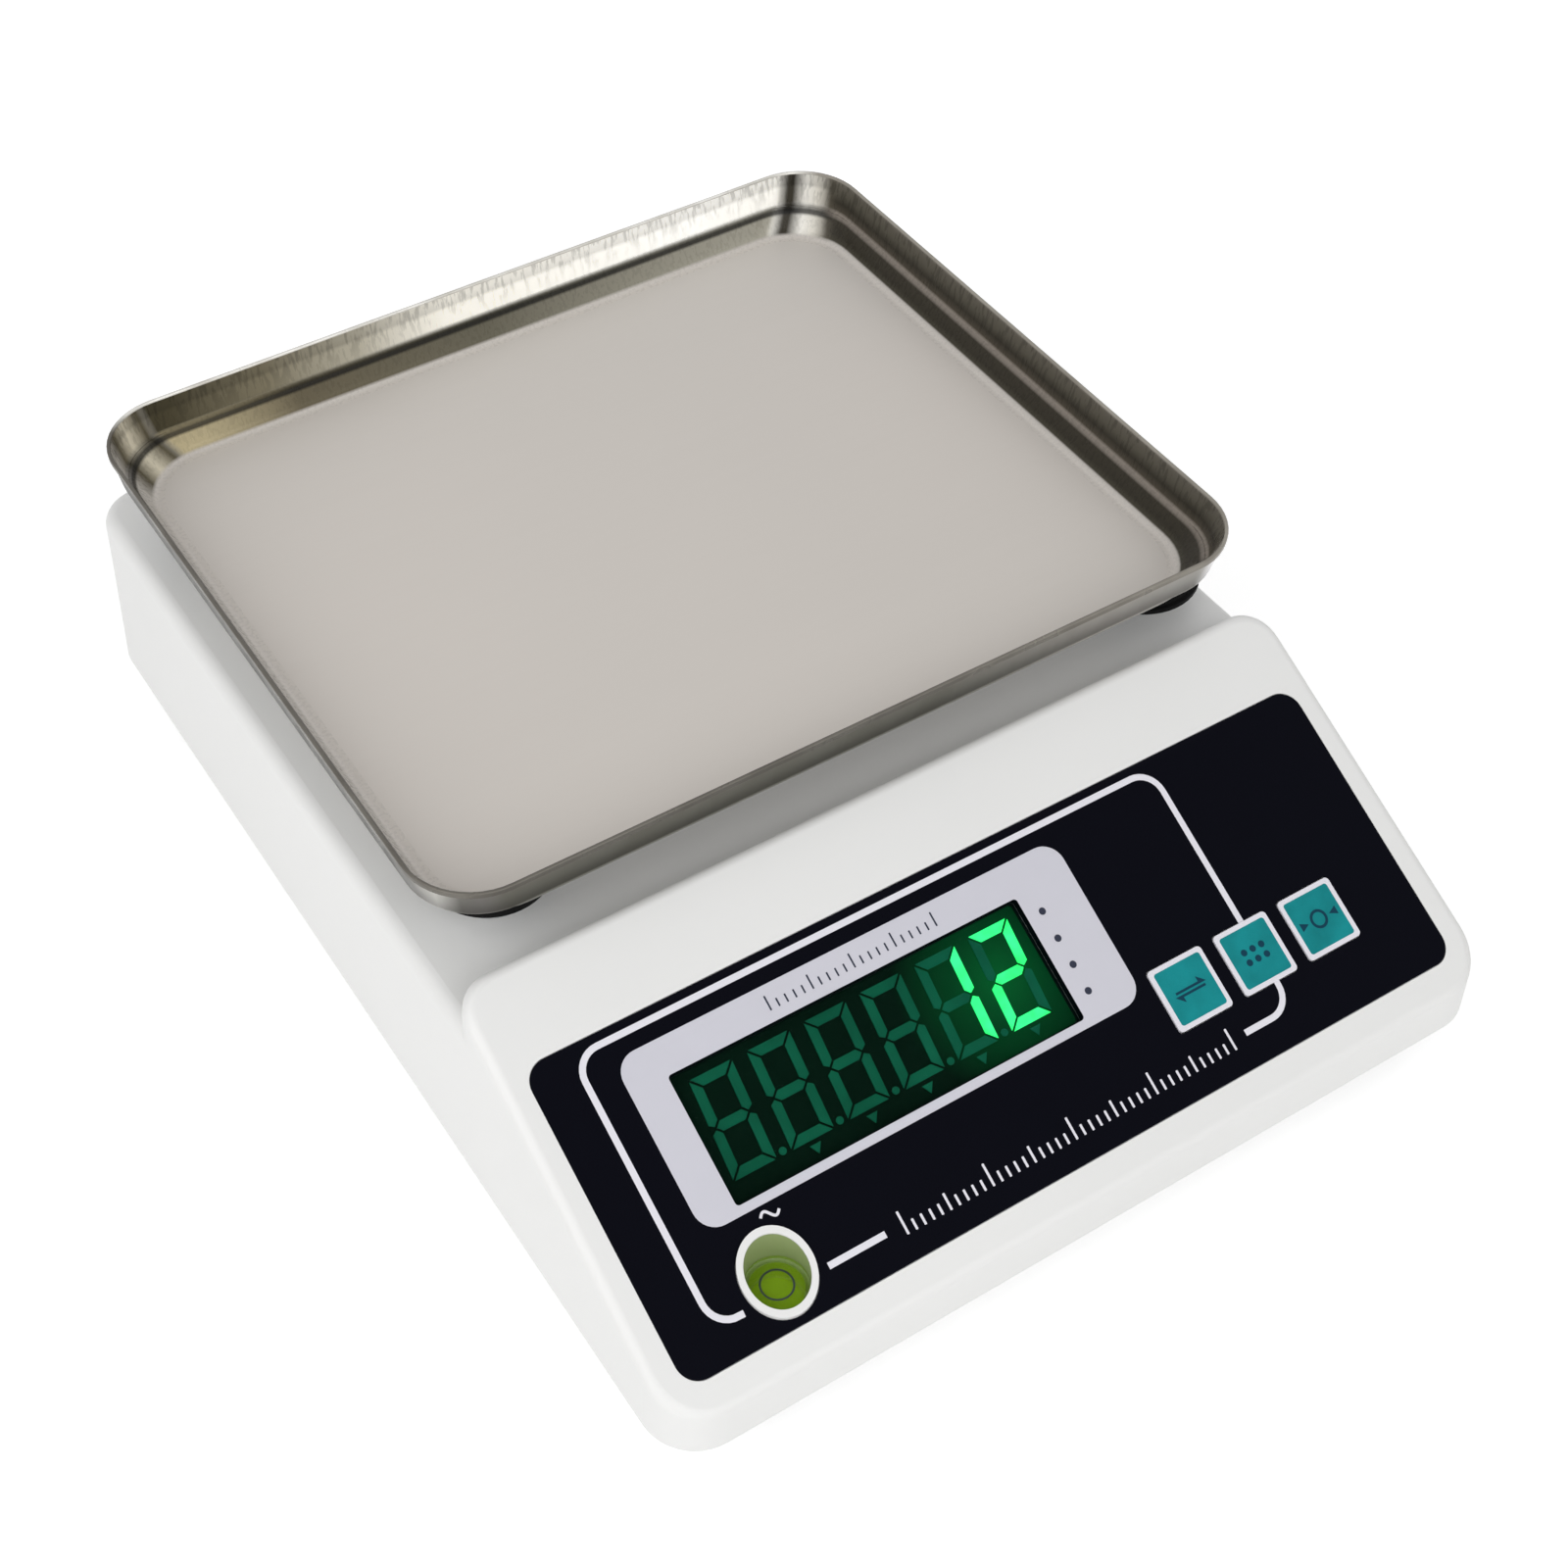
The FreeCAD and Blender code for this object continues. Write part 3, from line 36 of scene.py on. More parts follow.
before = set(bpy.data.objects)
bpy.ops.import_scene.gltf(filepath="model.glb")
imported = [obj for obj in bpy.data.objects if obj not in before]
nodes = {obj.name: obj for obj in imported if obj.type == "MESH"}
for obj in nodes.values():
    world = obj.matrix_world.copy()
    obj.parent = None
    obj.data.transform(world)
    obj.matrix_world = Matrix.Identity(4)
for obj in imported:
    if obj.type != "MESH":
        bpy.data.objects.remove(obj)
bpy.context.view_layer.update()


def in_mm(box):
    """Low and high corner of a box in metres, turned into mm."""
    low, high = box
    return [part / MM for part in low], [part / MM for part in high]


def middle(low, high):
    return [(near + far) / 2 for near, far in zip(low, high)]


# Places on the sloped face

TILT = math.radians(26.4)
PANEL_WIDTH = 182.0
PANEL_DEPTH = 63.3
PANEL_THICK = 0.5
PRINT_THICK = 0.03


def panel_centre():
    """Centre in mm of the overlay's top face, from the box of its node."""
    low, high = in_mm(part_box("panel_overlay"))
    y = (low[1] + high[1] - PANEL_THICK * math.sin(TILT)) / 2
    z = (low[2] + high[2] + PANEL_THICK * math.cos(TILT)) / 2
    return Vector((0, y, z))


PANEL = Matrix.Translation(panel_centre() * MM) @ Matrix.Rotation(TILT, 4, "X")


def from_corner(u, v):
    """Panel point in mm from the overlay's rear left corner, as x and s from its centre."""
    return u - PANEL_WIDTH / 2, PANEL_DEPTH / 2 - v


# Meshes

QUARTER_STEPS = 8
ROUND_STEPS = 24


def new_object(name, mesh, material, body):
    """Piece of one material that rides on a body."""
    piece = bpy.data.objects.new(name, mesh)
    bpy.context.scene.collection.objects.link(piece)
    piece.data.materials.clear()
    piece.data.materials.append(material)
    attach(piece, body)
    return piece


def filled(name, outlines, low, high, matrix, material, body, smooth=False):
    """Flat piece with the given closed outlines in mm; an outline inside another is a hole."""
    curve = bpy.data.curves.new(name + "_outline", "CURVE")
    curve.dimensions = "2D"
    curve.fill_mode = "BOTH"
    curve.extrude = (high - low) / 2 * MM
    for outline in outlines:
        spline = curve.splines.new("POLY")
        spline.points.add(len(outline) - 1)
        spline.use_cyclic_u = True
        for point, (x, y) in zip(spline.points, outline):
            point.co = (x * MM, y * MM, 0, 1)
    holder = bpy.data.objects.new(name + "_holder", curve)
    mesh = bpy.data.meshes.new_from_object(holder)
    bpy.data.objects.remove(holder)
    bpy.data.curves.remove(curve)
    mesh.name = name
    mesh.transform(matrix @ Matrix.Translation((0, 0, (low + high) / 2 * MM)))
    if smooth:
        mesh.shade_smooth()
    return new_object(name, mesh, material, body)


def arc(x, y, radius, start, end, steps=QUARTER_STEPS):
    points = []
    for step in range(steps + 1):
        turn = math.radians(start + (end - start) * step / steps)
        points.append((x + radius * math.cos(turn), y + radius * math.sin(turn)))
    return points


def rounded(x0, x1, y0, y1, radius):
    """Outline of a rectangle with rounded corners."""
    points = []
    for x, y, start in ((x1 - radius, y0 + radius, 270), (x1 - radius, y1 - radius, 0),
                        (x0 + radius, y1 - radius, 90), (x0 + radius, y0 + radius, 180)):
        points += arc(x, y, radius, start, start + 90)
    return points


def round_outline(x, y, radius, steps=ROUND_STEPS):
    return arc(x, y, radius, 0, 360 - 360 / steps, steps - 1)


def stroke(points, width):
    """Outline of a line of the given width along open points."""
    left = []
    right = []
    for index, (x, y) in enumerate(points):
        before = Vector(points[max(index - 1, 0)])
        after = Vector(points[min(index + 1, len(points) - 1)])
        along = (after - before).normalized()
        across = Vector((-along.y, along.x)) * width / 2
        left.append((x + across.x, y + across.y))
        right.append((x - across.x, y - across.y))
    return left + right[::-1]


def moved(outline, x, y):
    return [(px + x, py + y) for px, py in outline]


def panel_rect(u0, u1, v0, v1, radius):
    x0, y1 = from_corner(u0, v0)
    x1, y0 = from_corner(u1, v1)
    return rounded(x0, x1, y0, y1, radius)


def printed(name, outlines, material, layer=1):
    """Ink on the panel; the second layer lies on the first."""
    low = (layer - 1) * PRINT_THICK
    return filled(name, outlines, low, low + PRINT_THICK, PANEL, material, "base")


# The pan: one drawn sheet, bent round a path of insets and heights

PAN_SHEET = 0.8
PAN_CORNER_STEPS = 12
PAN_BEND_STEPS = 5
# Height over the underside, inset and corner radius of the outer face
PAN_WALL = ((0.0, 5.2, 16.5), (5.0, 2.6, 15.3), (5.5, 1.6, 15.3), (13.0, 0.0, 15.3), (13.8, 0.0, 15.3))
# Inset, height and the length of sheet that the bend takes on each side
PAN_OUTER = ((8.5, 0, 0), (5.2, 0, 2.1), (2.6, 5.0, 0.5), (1.6, 5.5, 0.5), (0.5, 12.3, 0.2), (0.38, 12.35, 0))
PAN_RIM = ((0.38, 12.35, 0), (0.02, 12.5, 0.12), (0.0, 13.8, 0.38), (0.8, 13.8, 0.38), (0.85, 13.3, 0))
PAN_INNER = ((0.85, 13.3, 0), (2.4, 6.3, 0.6), (3.4, 5.8, 0.6), (6.0, 0.8, 1.7), (8.5, 0.8, 0))
FLOOR_SLOT = 0
OUTER_SLOT = 1
RIM_SLOT = 2
INNER_SLOT = 3
NORMAL_WEIGHT = 80


def wall_at(height):
    """Inset and corner radius of the pan's outer face at a height over its underside."""
    for low, high in zip(PAN_WALL, PAN_WALL[1:]):
        if height <= high[0]:
            share = (height - low[0]) / (high[0] - low[0])
            return [near + (far - near) * share for near, far in zip(low[1:], high[1:])]
    return list(PAN_WALL[-1][1:])


def bent(corners):
    """Path through corners, each rounded over its own length of sheet."""
    points = [Vector(corners[0][:2])]
    for before, corner, after in zip(corners, corners[1:], corners[2:]):
        tip = Vector(corner[:2])
        start = tip + (Vector(before[:2]) - tip).normalized() * corner[2]
        end = tip + (Vector(after[:2]) - tip).normalized() * corner[2]
        for step in range(PAN_BEND_STEPS + 1):
            share = step / PAN_BEND_STEPS
            points.append(start * (1 - share) ** 2 + tip * 2 * share * (1 - share) + end * share ** 2)
    points.append(Vector(corners[-1][:2]))
    return points


def pan_ring(inset, height, shift, centre, half):
    """Ring round the pan at an inset and a height; shift is the sheet between it and the outer face."""
    wall, radius = wall_at(max(height - shift, 0))
    radius = radius - (inset - wall)
    x, y = half[0] - inset, half[1] - inset
    outline = []
    for side_x, side_y, start in ((1, -1, 270), (1, 1, 0), (-1, 1, 90), (-1, -1, 180)):
        outline += arc(centre[0] + side_x * (x - radius), centre[1] + side_y * (y - radius), radius,
                       start, start + 90, PAN_CORNER_STEPS)
    return [(px * MM, py * MM, (centre[2] + height) * MM) for px, py in outline]


def pan_rings():
    """All rings from the underside over the rim to the floor, each with the slot of its band."""
    low, high = in_mm(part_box("weighing_pan"))
    centre = ((low[0] + high[0]) / 2, (low[1] + high[1]) / 2, low[2])
    half = ((high[0] - low[0]) / 2, (high[1] - low[1]) / 2)
    rings = []
    for slot, path in ((OUTER_SLOT, PAN_OUTER), (RIM_SLOT, PAN_RIM), (INNER_SLOT, PAN_INNER)):
        shift = PAN_SHEET if slot == INNER_SLOT else 0
        points = bent(path)
        for inset, height in points[1 if rings else 0:]:
            rings.append((slot, pan_ring(inset, height, shift, centre, half)))
    return rings


def pan_sheet(materials):
    """The whole pan, with the materials of its floor, outer face, rim and inner face."""
    rings = pan_rings()
    count = len(rings[0][1])
    points = [point for slot, ring in rings for point in ring]
    faces = []
    slots = []
    for index, (slot, ring) in enumerate(rings[1:]):
        first = index * count
        for corner in range(count):
            after = (corner + 1) % count
            faces.append((first + corner, first + after, first + count + after, first + count + corner))
            slots.append(slot)
    faces.append(tuple(reversed(range(count))))
    faces.append(tuple(range(len(points) - count, len(points))))
    slots += [FLOOR_SLOT, FLOOR_SLOT]
    mesh = bpy.data.meshes.new("pan_sheet")
    mesh.from_pydata(points, [], faces)
    pan = new_object("pan_sheet", mesh, materials[0], "pan")
    for material in materials[1:]:
        mesh.materials.append(material)
    for face, slot in zip(mesh.polygons, slots):
        face.material_index = slot
    mesh.shade_smooth()
    pan.modifiers.new("normals", "WEIGHTED_NORMAL").weight = NORMAL_WEIGHT
    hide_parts("weighing_pan")


# Shader nodes

def shader(name, colour, roughness, metallic=0.0, shine=0.5):
    """Material and its shader; shine is the specular level of the surface."""
    material = bpy.data.materials.new(name)
    material.use_nodes = True
    bsdf = material.node_tree.nodes["Principled BSDF"]
    bsdf.inputs["Base Color"].default_value = (*colour, 1)
    bsdf.inputs["Roughness"].default_value = roughness
    bsdf.inputs["Metallic"].default_value = metallic
    bsdf.inputs["Specular IOR Level"].default_value = shine
    return material, bsdf


def add(material, kind, **values):
    node = material.node_tree.nodes.new(kind)
    for key, value in values.items():
        setattr(node, key, value)
    return node


def link(material, start, end):
    material.node_tree.links.new(start, end)


def feed(material, value, socket):
    """Gives a socket a colour, a number or the output of a node."""
    if isinstance(value, tuple):
        socket.default_value = (*value, 1)
    elif isinstance(value, float):
        socket.default_value = value
    else:
        link(material, value, socket)


def object_place(material):
    return add(material, "ShaderNodeTexCoord").outputs["Object"]


def object_axis(material, axis):
    """Object coordinate in metres along X, Y or Z."""
    split = add(material, "ShaderNodeSeparateXYZ")
    link(material, object_place(material), split.inputs[0])
    return split.outputs[axis]


def object_noise(material, scale, stretch=(1, 1, 1), detail=3.0):
    """Noise over object coordinates in metres, stretched along an axis by its share."""
    mapping = add(material, "ShaderNodeMapping")
    mapping.inputs["Scale"].default_value = stretch
    noise = add(material, "ShaderNodeTexNoise")
    noise.inputs["Scale"].default_value = scale
    noise.inputs["Detail"].default_value = detail
    link(material, object_place(material), mapping.inputs["Vector"])
    link(material, mapping.outputs["Vector"], noise.inputs["Vector"])
    return noise.outputs["Fac"]


def ramp(material, factor, low, high, from_low=0.3, from_high=0.7):
    """Maps a factor to a number between low and high."""
    node = add(material, "ShaderNodeMapRange")
    node.inputs["From Min"].default_value = from_low
    node.inputs["From Max"].default_value = from_high
    node.inputs["To Min"].default_value = low
    node.inputs["To Max"].default_value = high
    link(material, factor, node.inputs["Value"])
    return node.outputs["Result"]


def blend(material, factor, first, second, kind="MIX"):
    """Blend of two colours; each of the three is a value or the output of a node."""
    node = add(material, "ShaderNodeMix", data_type="RGBA", blend_type=kind)
    feed(material, factor, node.inputs[0])
    feed(material, first, node.inputs[6])
    feed(material, second, node.inputs[7])
    return node.outputs[2]


def times(material, first, second):
    return blend(material, 1.0, first, second, "MULTIPLY")


def bands(material, factor, steps):
    """Colour ramp with steps of a place and a colour, or of a place and a grey."""
    node = add(material, "ShaderNodeValToRGB")
    elements = node.color_ramp.elements
    for index, (place, colour) in enumerate(steps):
        step = elements[index] if index < 2 else elements.new(place)
        step.position = place
        step.color = (*colour, 1) if isinstance(colour, tuple) else (colour, colour, colour, 1)
    link(material, factor, node.inputs["Fac"])
    return node.outputs["Color"]


def gloss(material, bsdf, grains, low, high):
    """Roughness that varies between low and high with the grains."""
    link(material, ramp(material, grains, low, high), bsdf.inputs["Roughness"])


def bump(material, bsdf, height, distance, strength):
    node = add(material, "ShaderNodeBump")
    node.inputs["Distance"].default_value = distance
    node.inputs["Strength"].default_value = strength
    link(material, height, node.inputs["Height"])
    link(material, node.outputs["Normal"], bsdf.inputs["Normal"])


# Materials of the pan, with painted reflections, shade and highlights on its walls and rim

STEEL_SHINE = 0.12
WHITE = (1.0, 1.0, 1.0)
PAN_FLOOR = (0.655, 0.615, 0.57)
PAN_FLOOR_LIGHT = (0.67, 0.625, 0.58)
PAN_FLOOR_DARK = (0.635, 0.60, 0.56)

# Drawing streaks: how dark they are, and how much of them shows over the height
STREAK_TONES = ((0.0, 0.62), (1.0, 1.0))
STREAK_DEPTH = ((0.10, 0.0), (0.2, 0.25), (0.5, 0.2), (0.75, 0.65), (1.0, 0.9))

# Painted reflections on the rear inner wall over the share of the width, above and below the step
REAR_UPPER_REFLECTION = (
    (0.0, (0.05, 0.042, 0.022)), (0.1, (0.07, 0.06, 0.033)), (0.22, (0.22, 0.195, 0.13)),
    (0.34, (0.50, 0.47, 0.38)), (0.46, (1.15, 1.12, 1.02)), (0.8, (1.4, 1.39, 1.33)),
    (1.0, (1.36, 1.33, 1.23)))
REAR_LOWER_REFLECTION = (
    (0.0, (0.62, 0.53, 0.32)), (0.13, (0.48, 0.41, 0.25)), (0.25, (0.13, 0.11, 0.068)),
    (0.5, (0.135, 0.125, 0.09)), (0.75, (0.31, 0.295, 0.24)), (1.0, (0.48, 0.46, 0.39)))
# Inner walls over the height: what lies above the step, and the painted shadow lines of the step
ABOVE_STEP = ((0.0, 0.0), (0.43, 0.0), (0.48, 1.0))
STEP_SHADOW_LINES = (
    (0.0, 1.0), (0.33, 0.9), (0.37, 0.12), (0.41, 0.12), (0.45, 0.6), (0.50, 1.0), (0.74, 1.0),
    (0.80, 0.72), (0.9, 0.80))
# Painted dark reflection on the right inner wall over the height
SIDE_WALL_REFLECTION = (
    (0.09, (0.54, 0.51, 0.475)), (0.115, (0.05, 0.045, 0.032)), (0.2, (0.032, 0.028, 0.02)),
    (0.38, (0.038, 0.033, 0.024)), (0.42, (0.20, 0.175, 0.15)), (0.45, (0.24, 0.21, 0.18)),
    (0.49, (0.07, 0.06, 0.045)), (0.62, (0.032, 0.028, 0.02)), (0.78, (0.085, 0.078, 0.06)),
    (0.92, (0.11, 0.10, 0.08)), (1.0, (0.16, 0.15, 0.125)))
# Painted reflections on the inner walls by the direction that they face, and which of them face the front and
# the left
INNER_ROUND_REFLECTION = (
    (0.0, (0.62, 0.59, 0.55)), (0.30, (0.62, 0.59, 0.55)), (0.35, (0.10, 0.085, 0.05)),
    (0.40, (0.75, 0.69, 0.54)), (0.45, (0.10, 0.085, 0.05)), (0.53, (0.85, 0.83, 0.77)),
    (0.56, (0.04, 0.035, 0.025)), (0.575, (0.04, 0.035, 0.025)), (0.61, (0.88, 0.86, 0.80)),
    (0.64, (0.70, 0.67, 0.60)), (0.68, (0.10, 0.088, 0.065)), (0.88, (0.10, 0.09, 0.07)),
    (0.93, (0.62, 0.59, 0.55)))
FACES_FRONT = ((0.46, 0.0), (0.48, 1.0), (0.52, 1.0), (0.54, 0.0))
FACES_LEFT = ((0.66, 0.0), (0.70, 1.0), (0.87, 1.0), (0.90, 0.0))
# Painted shade and reflections on the foot of the inner walls, where they bend into the floor
FOOT_SHADE_AND_REFLECTION = (
    (0.0, (0.63, 0.59, 0.55)), (0.25, (0.75, 0.705, 0.66)), (0.5, (0.55, 0.515, 0.48)),
    (0.75, (0.50, 0.47, 0.44)), (1.0, (0.63, 0.59, 0.55)))
FOOT_LOW = 0.058
FOOT_HIGH = 0.09
ON_FLOOR = ((0.075, 1.0), (0.105, 0.0))

# Painted reflections and shade on the outer walls by direction, by height, and towards the right end of the
# front; a painted highlight along the lower edge
OUTER_ROUND_REFLECTION = (
    (0.0, (0.33, 0.32, 0.29)), (0.25, (0.30, 0.29, 0.265)), (0.36, (0.56, 0.56, 0.52)),
    (0.43, (0.42, 0.41, 0.38)), (0.48, (0.165, 0.16, 0.135)), (0.52, (0.165, 0.16, 0.135)),
    (0.57, (0.22, 0.21, 0.20)), (0.61, (0.16, 0.155, 0.14)), (0.66, (0.52, 0.51, 0.48)),
    (0.70, (0.30, 0.29, 0.27)), (0.74, (0.085, 0.083, 0.07)), (0.76, (0.085, 0.083, 0.07)),
    (1.0, (0.33, 0.32, 0.29)))
OUTER_SHADE = (
    (0.0, 1.6), (0.30, 1.6), (0.40, 1.1), (0.46, 0.50), (0.55, 0.62), (0.70, 0.85), (0.85, 1.0), (1.0, 1.05))
OUTER_END_REFLECTION = ((0.0, WHITE), (0.58, WHITE), (0.82, (2.5, 2.45, 2.7)), (1.0, (2.9, 2.95, 3.3)))
ON_FRONT = ((0.22, 0.0), (0.32, 1.0), (0.54, 1.0), (0.60, 0.0))
LOWER_EDGE = ((0.12, 1.0), (0.165, 0.0))
LOWER_EDGE_HIGHLIGHT = (0.44, 0.45, 0.43)
# Painted reflection on the hemmed edge towards its right end, and the mm from the rear over which a painted
# highlight turns it pale
RIM_END_REFLECTION = ((0.0, 1.0), (0.5, 1.0), (0.85, 1.8), (1.0, 2.0))
REAR_RIM_HIGHLIGHT_FROM = 6.0
REAR_RIM_HIGHLIGHT_TO = 2.0


def pan_share(material, axis):
    """Share of the pan's extent along an axis at which a point lies."""
    low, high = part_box("weighing_pan")
    index = "XYZ".index(axis)
    return ramp(material, object_axis(material, axis), 0.0, 1.0, low[index], high[index])


def facing_angle(material):
    """Compass direction of the surface as a share of a turn: 0.5 for -Y, 0.75 for -X, 0.25 for +X."""
    geometry = add(material, "ShaderNodeNewGeometry")
    split = add(material, "ShaderNodeSeparateXYZ")
    link(material, geometry.outputs["Normal"], split.inputs[0])
    angle = add(material, "ShaderNodeMath", operation="ARCTAN2")
    for index, axis in enumerate(("X", "Y")):
        flip = add(material, "ShaderNodeMath", operation="MULTIPLY")
        flip.inputs[1].default_value = -1
        link(material, split.outputs[axis], flip.inputs[0])
        link(material, flip.outputs[0], angle.inputs[index])
    return ramp(material, angle.outputs[0], 0.0, 1.0, -math.pi, math.pi)


def steel_floor():
    """Satin pan floor with a fine brushed grain."""
    material, bsdf = shader("steel_floor", PAN_FLOOR, roughness=0.5, metallic=0.12)
    grain = object_noise(material, scale=900.0, stretch=(0.03, 1.0, 1.0), detail=4.0)
    cloud = object_noise(material, scale=6.0, detail=2.0)
    tone = ramp(material, cloud, low=0.0, high=1.0)
    link(material, blend(material, tone, PAN_FLOOR_LIGHT, PAN_FLOOR_DARK), bsdf.inputs["Base Color"])
    gloss(material, bsdf, grain, low=0.44, high=0.54)
    bump(material, bsdf, grain, distance=0.00001, strength=0.4)
    return material


def steel_marks(material, bsdf, tone, height):
    """Upright drawing streaks over a tone, strongest near the rim, in colour, gloss and relief."""
    streak = object_noise(material, scale=1100.0, stretch=(1.0, 1.0, 0.08), detail=3.0)
    sharp = ramp(material, streak, low=0.0, high=1.0, from_low=0.38, from_high=0.52)
    marked = times(material, tone, bands(material, sharp, STREAK_TONES))
    depth = bands(material, height, STREAK_DEPTH)
    link(material, blend(material, depth, tone, marked), bsdf.inputs["Base Color"])
    gloss(material, bsdf, streak, low=0.20, high=0.38)
    bump(material, bsdf, streak, distance=0.000015, strength=0.3)


def steel_inner():
    """Inner walls with painted reflections and shadow lines: a pale rear wall that darkens to the left, a
    dark right wall, the others pale.
    """
    material, bsdf = shader("steel_inner", (0.4, 0.38, 0.32), roughness=0.26, metallic=0.08,
                            shine=STEEL_SHINE)
    along = pan_share(material, "X")
    height = pan_share(material, "Z")
    facing = facing_angle(material)
    # The bands below paint reflections on the rear and right walls and round the corners, shadow lines along
    # the step, and shade and reflection on the foot
    rear = blend(material, bands(material, height, ABOVE_STEP), bands(material, along, REAR_LOWER_REFLECTION),
                 bands(material, along, REAR_UPPER_REFLECTION))
    corner = bands(material, facing, INNER_ROUND_REFLECTION)
    step_shaded = times(material, blend(material, bands(material, facing, FACES_FRONT), corner, rear),
                  bands(material, height, STEP_SHADOW_LINES))
    walls = blend(material, bands(material, facing, FACES_LEFT), step_shaded, bands(material, height, SIDE_WALL_REFLECTION))
    to_foot = ramp(material, height, low=0.0, high=1.0, from_low=FOOT_LOW, from_high=FOOT_HIGH)
    foot = blend(material, to_foot, PAN_FLOOR, bands(material, facing, FOOT_SHADE_AND_REFLECTION))
    tone = blend(material, bands(material, height, ON_FLOOR), walls, foot)
    steel_marks(material, bsdf, tone, height)
    return material


def steel_outer():
    """Outer walls with painted reflections and shade: dark to the front, lighter round the corners, bright
    below the step, with a painted highlight along the lower edge.
    """
    material, bsdf = shader("steel_outer", (0.3, 0.29, 0.26), roughness=0.3, metallic=0.4, shine=STEEL_SHINE)
    along = pan_share(material, "X")
    height = pan_share(material, "Z")
    facing = facing_angle(material)
    # Painted reflections brighter towards the right end, painted shade and reflection by direction and
    # height, and a painted highlight along the lower edge
    end = blend(material, bands(material, facing, ON_FRONT), WHITE, bands(material, along, OUTER_END_REFLECTION))
    shaded = times(material, bands(material, facing, OUTER_ROUND_REFLECTION), bands(material, height, OUTER_SHADE))
    tone = blend(material, bands(material, height, LOWER_EDGE), times(material, shaded, end), LOWER_EDGE_HIGHLIGHT)
    noise = object_noise(material, scale=160.0, stretch=(1.0, 1.0, 0.4), detail=4.0)
    cloud = ramp(material, noise, low=0.0, high=1.0)
    uneven = blend(material, cloud, WHITE, (0.92, 0.915, 0.90))
    link(material, times(material, tone, uneven), bsdf.inputs["Base Color"])
    gloss(material, bsdf, cloud, low=0.30, high=0.38)
    bump(material, bsdf, cloud, distance=0.000005, strength=0.2)
    return material


def steel_rim():
    """Hemmed edge with fine wear, a painted reflection towards its right end and a painted highlight that
    makes it pale along the rear.
    """
    material, bsdf = shader("steel_rim", (0.16, 0.15, 0.13), roughness=0.26, metallic=0.4, shine=STEEL_SHINE)
    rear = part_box("weighing_pan")[1][1]
    wear = object_noise(material, scale=90.0, detail=3.0)
    uneven = ramp(material, wear, low=0.0, high=1.0)
    worn = blend(material, uneven, (0.17, 0.16, 0.14), (0.12, 0.11, 0.095))
    # Painted highlight: pale along the rear edge; the front is brightened towards the right by a painted
    # reflection
    pale = blend(material, uneven, (0.85, 0.84, 0.80), (0.55, 0.53, 0.48))
    to_rear = ramp(material, object_axis(material, "Y"), low=0.0, high=1.0,
                   from_low=rear - REAR_RIM_HIGHLIGHT_FROM * MM, from_high=rear - REAR_RIM_HIGHLIGHT_TO * MM)
    front = times(material, worn, bands(material, pan_share(material, "X"), RIM_END_REFLECTION))
    link(material, blend(material, to_rear, front, pale), bsdf.inputs["Base Color"])
    gloss(material, bsdf, wear, low=0.2, high=0.36)
    bump(material, bsdf, wear, distance=0.00001, strength=0.3)
    return material


# Other materials

# How far the roughness of a plastic goes down and up from its own value
GLOSSIER = 0.05
MOULDED_DULLER = 0.07
FILM_DULLER = 0.08
# Painted glow of the lit digits on the display face, from their middle out to its reach in mm
DIGIT_GLOW_REACH = 22.0
DIGIT_GLOW = ((0.0, (0.001, 0.11, 0.022)), (0.45, (0.0, 0.045, 0.010)), (1.0, (0.0, 0.0, 0.0)))
TRACE_SCALE = 260.0
TRACE_WIDTH = 0.03


def moulded(name, colour, roughness, grain=0.00001, scale=2500.0, spread=0.02, shine=0.5):
    """Moulded plastic: fine spark-eroded grain and a very slight change of tone."""
    material, bsdf = shader(name, colour, roughness, shine=shine)
    tone = ramp(material, object_noise(material, scale=14.0, detail=4.0), low=0.0, high=1.0)
    darker = tuple(max(part - spread, 0) for part in colour)
    link(material, blend(material, tone, colour, darker), bsdf.inputs["Base Color"])
    grains = object_noise(material, scale, detail=2.0)
    gloss(material, bsdf, grains, roughness - GLOSSIER, roughness + MOULDED_DULLER)
    bump(material, bsdf, grains, grain, strength=0.35)
    return material


def film(name, colour, roughness=0.28, shine=0.2, spread=0.06):
    """Printed film: ink with a slight unevenness under a fine satin texture."""
    material, bsdf = shader(name, colour, roughness, shine=shine)
    uneven = ramp(material, object_noise(material, scale=120.0, detail=4.0), low=0.0, high=1.0)
    thin = tuple(part * (1 - spread) for part in colour)
    link(material, blend(material, uneven, colour, thin), bsdf.inputs["Base Color"])
    grains = object_noise(material, scale=5200.0, detail=1.0)
    gloss(material, bsdf, grains, roughness - GLOSSIER, roughness + FILM_DULLER)
    bump(material, bsdf, grains, distance=0.000004, strength=0.4)
    return material


def display_face():
    """Black face of the display, with a painted green glow round the lit digits."""
    material = film("display_face", (0.0012, 0.010, 0.005), roughness=0.6, shine=0.03, spread=0.3)
    bsdf = material.node_tree.nodes["Principled BSDF"]
    away = add(material, "ShaderNodeVectorMath", operation="DISTANCE")
    away.inputs[1].default_value = middle(*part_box("display_segments_lit"))
    link(material, object_place(material), away.inputs[0])
    share = ramp(material, away.outputs["Value"], low=0.0, high=1.0, from_low=0.0, from_high=DIGIT_GLOW_REACH * MM)
    # Painted glow: emission on the face round the lit digits
    link(material, bands(material, share, DIGIT_GLOW), bsdf.inputs["Emission Color"])
    bsdf.inputs["Emission Strength"].default_value = 1.0
    return material


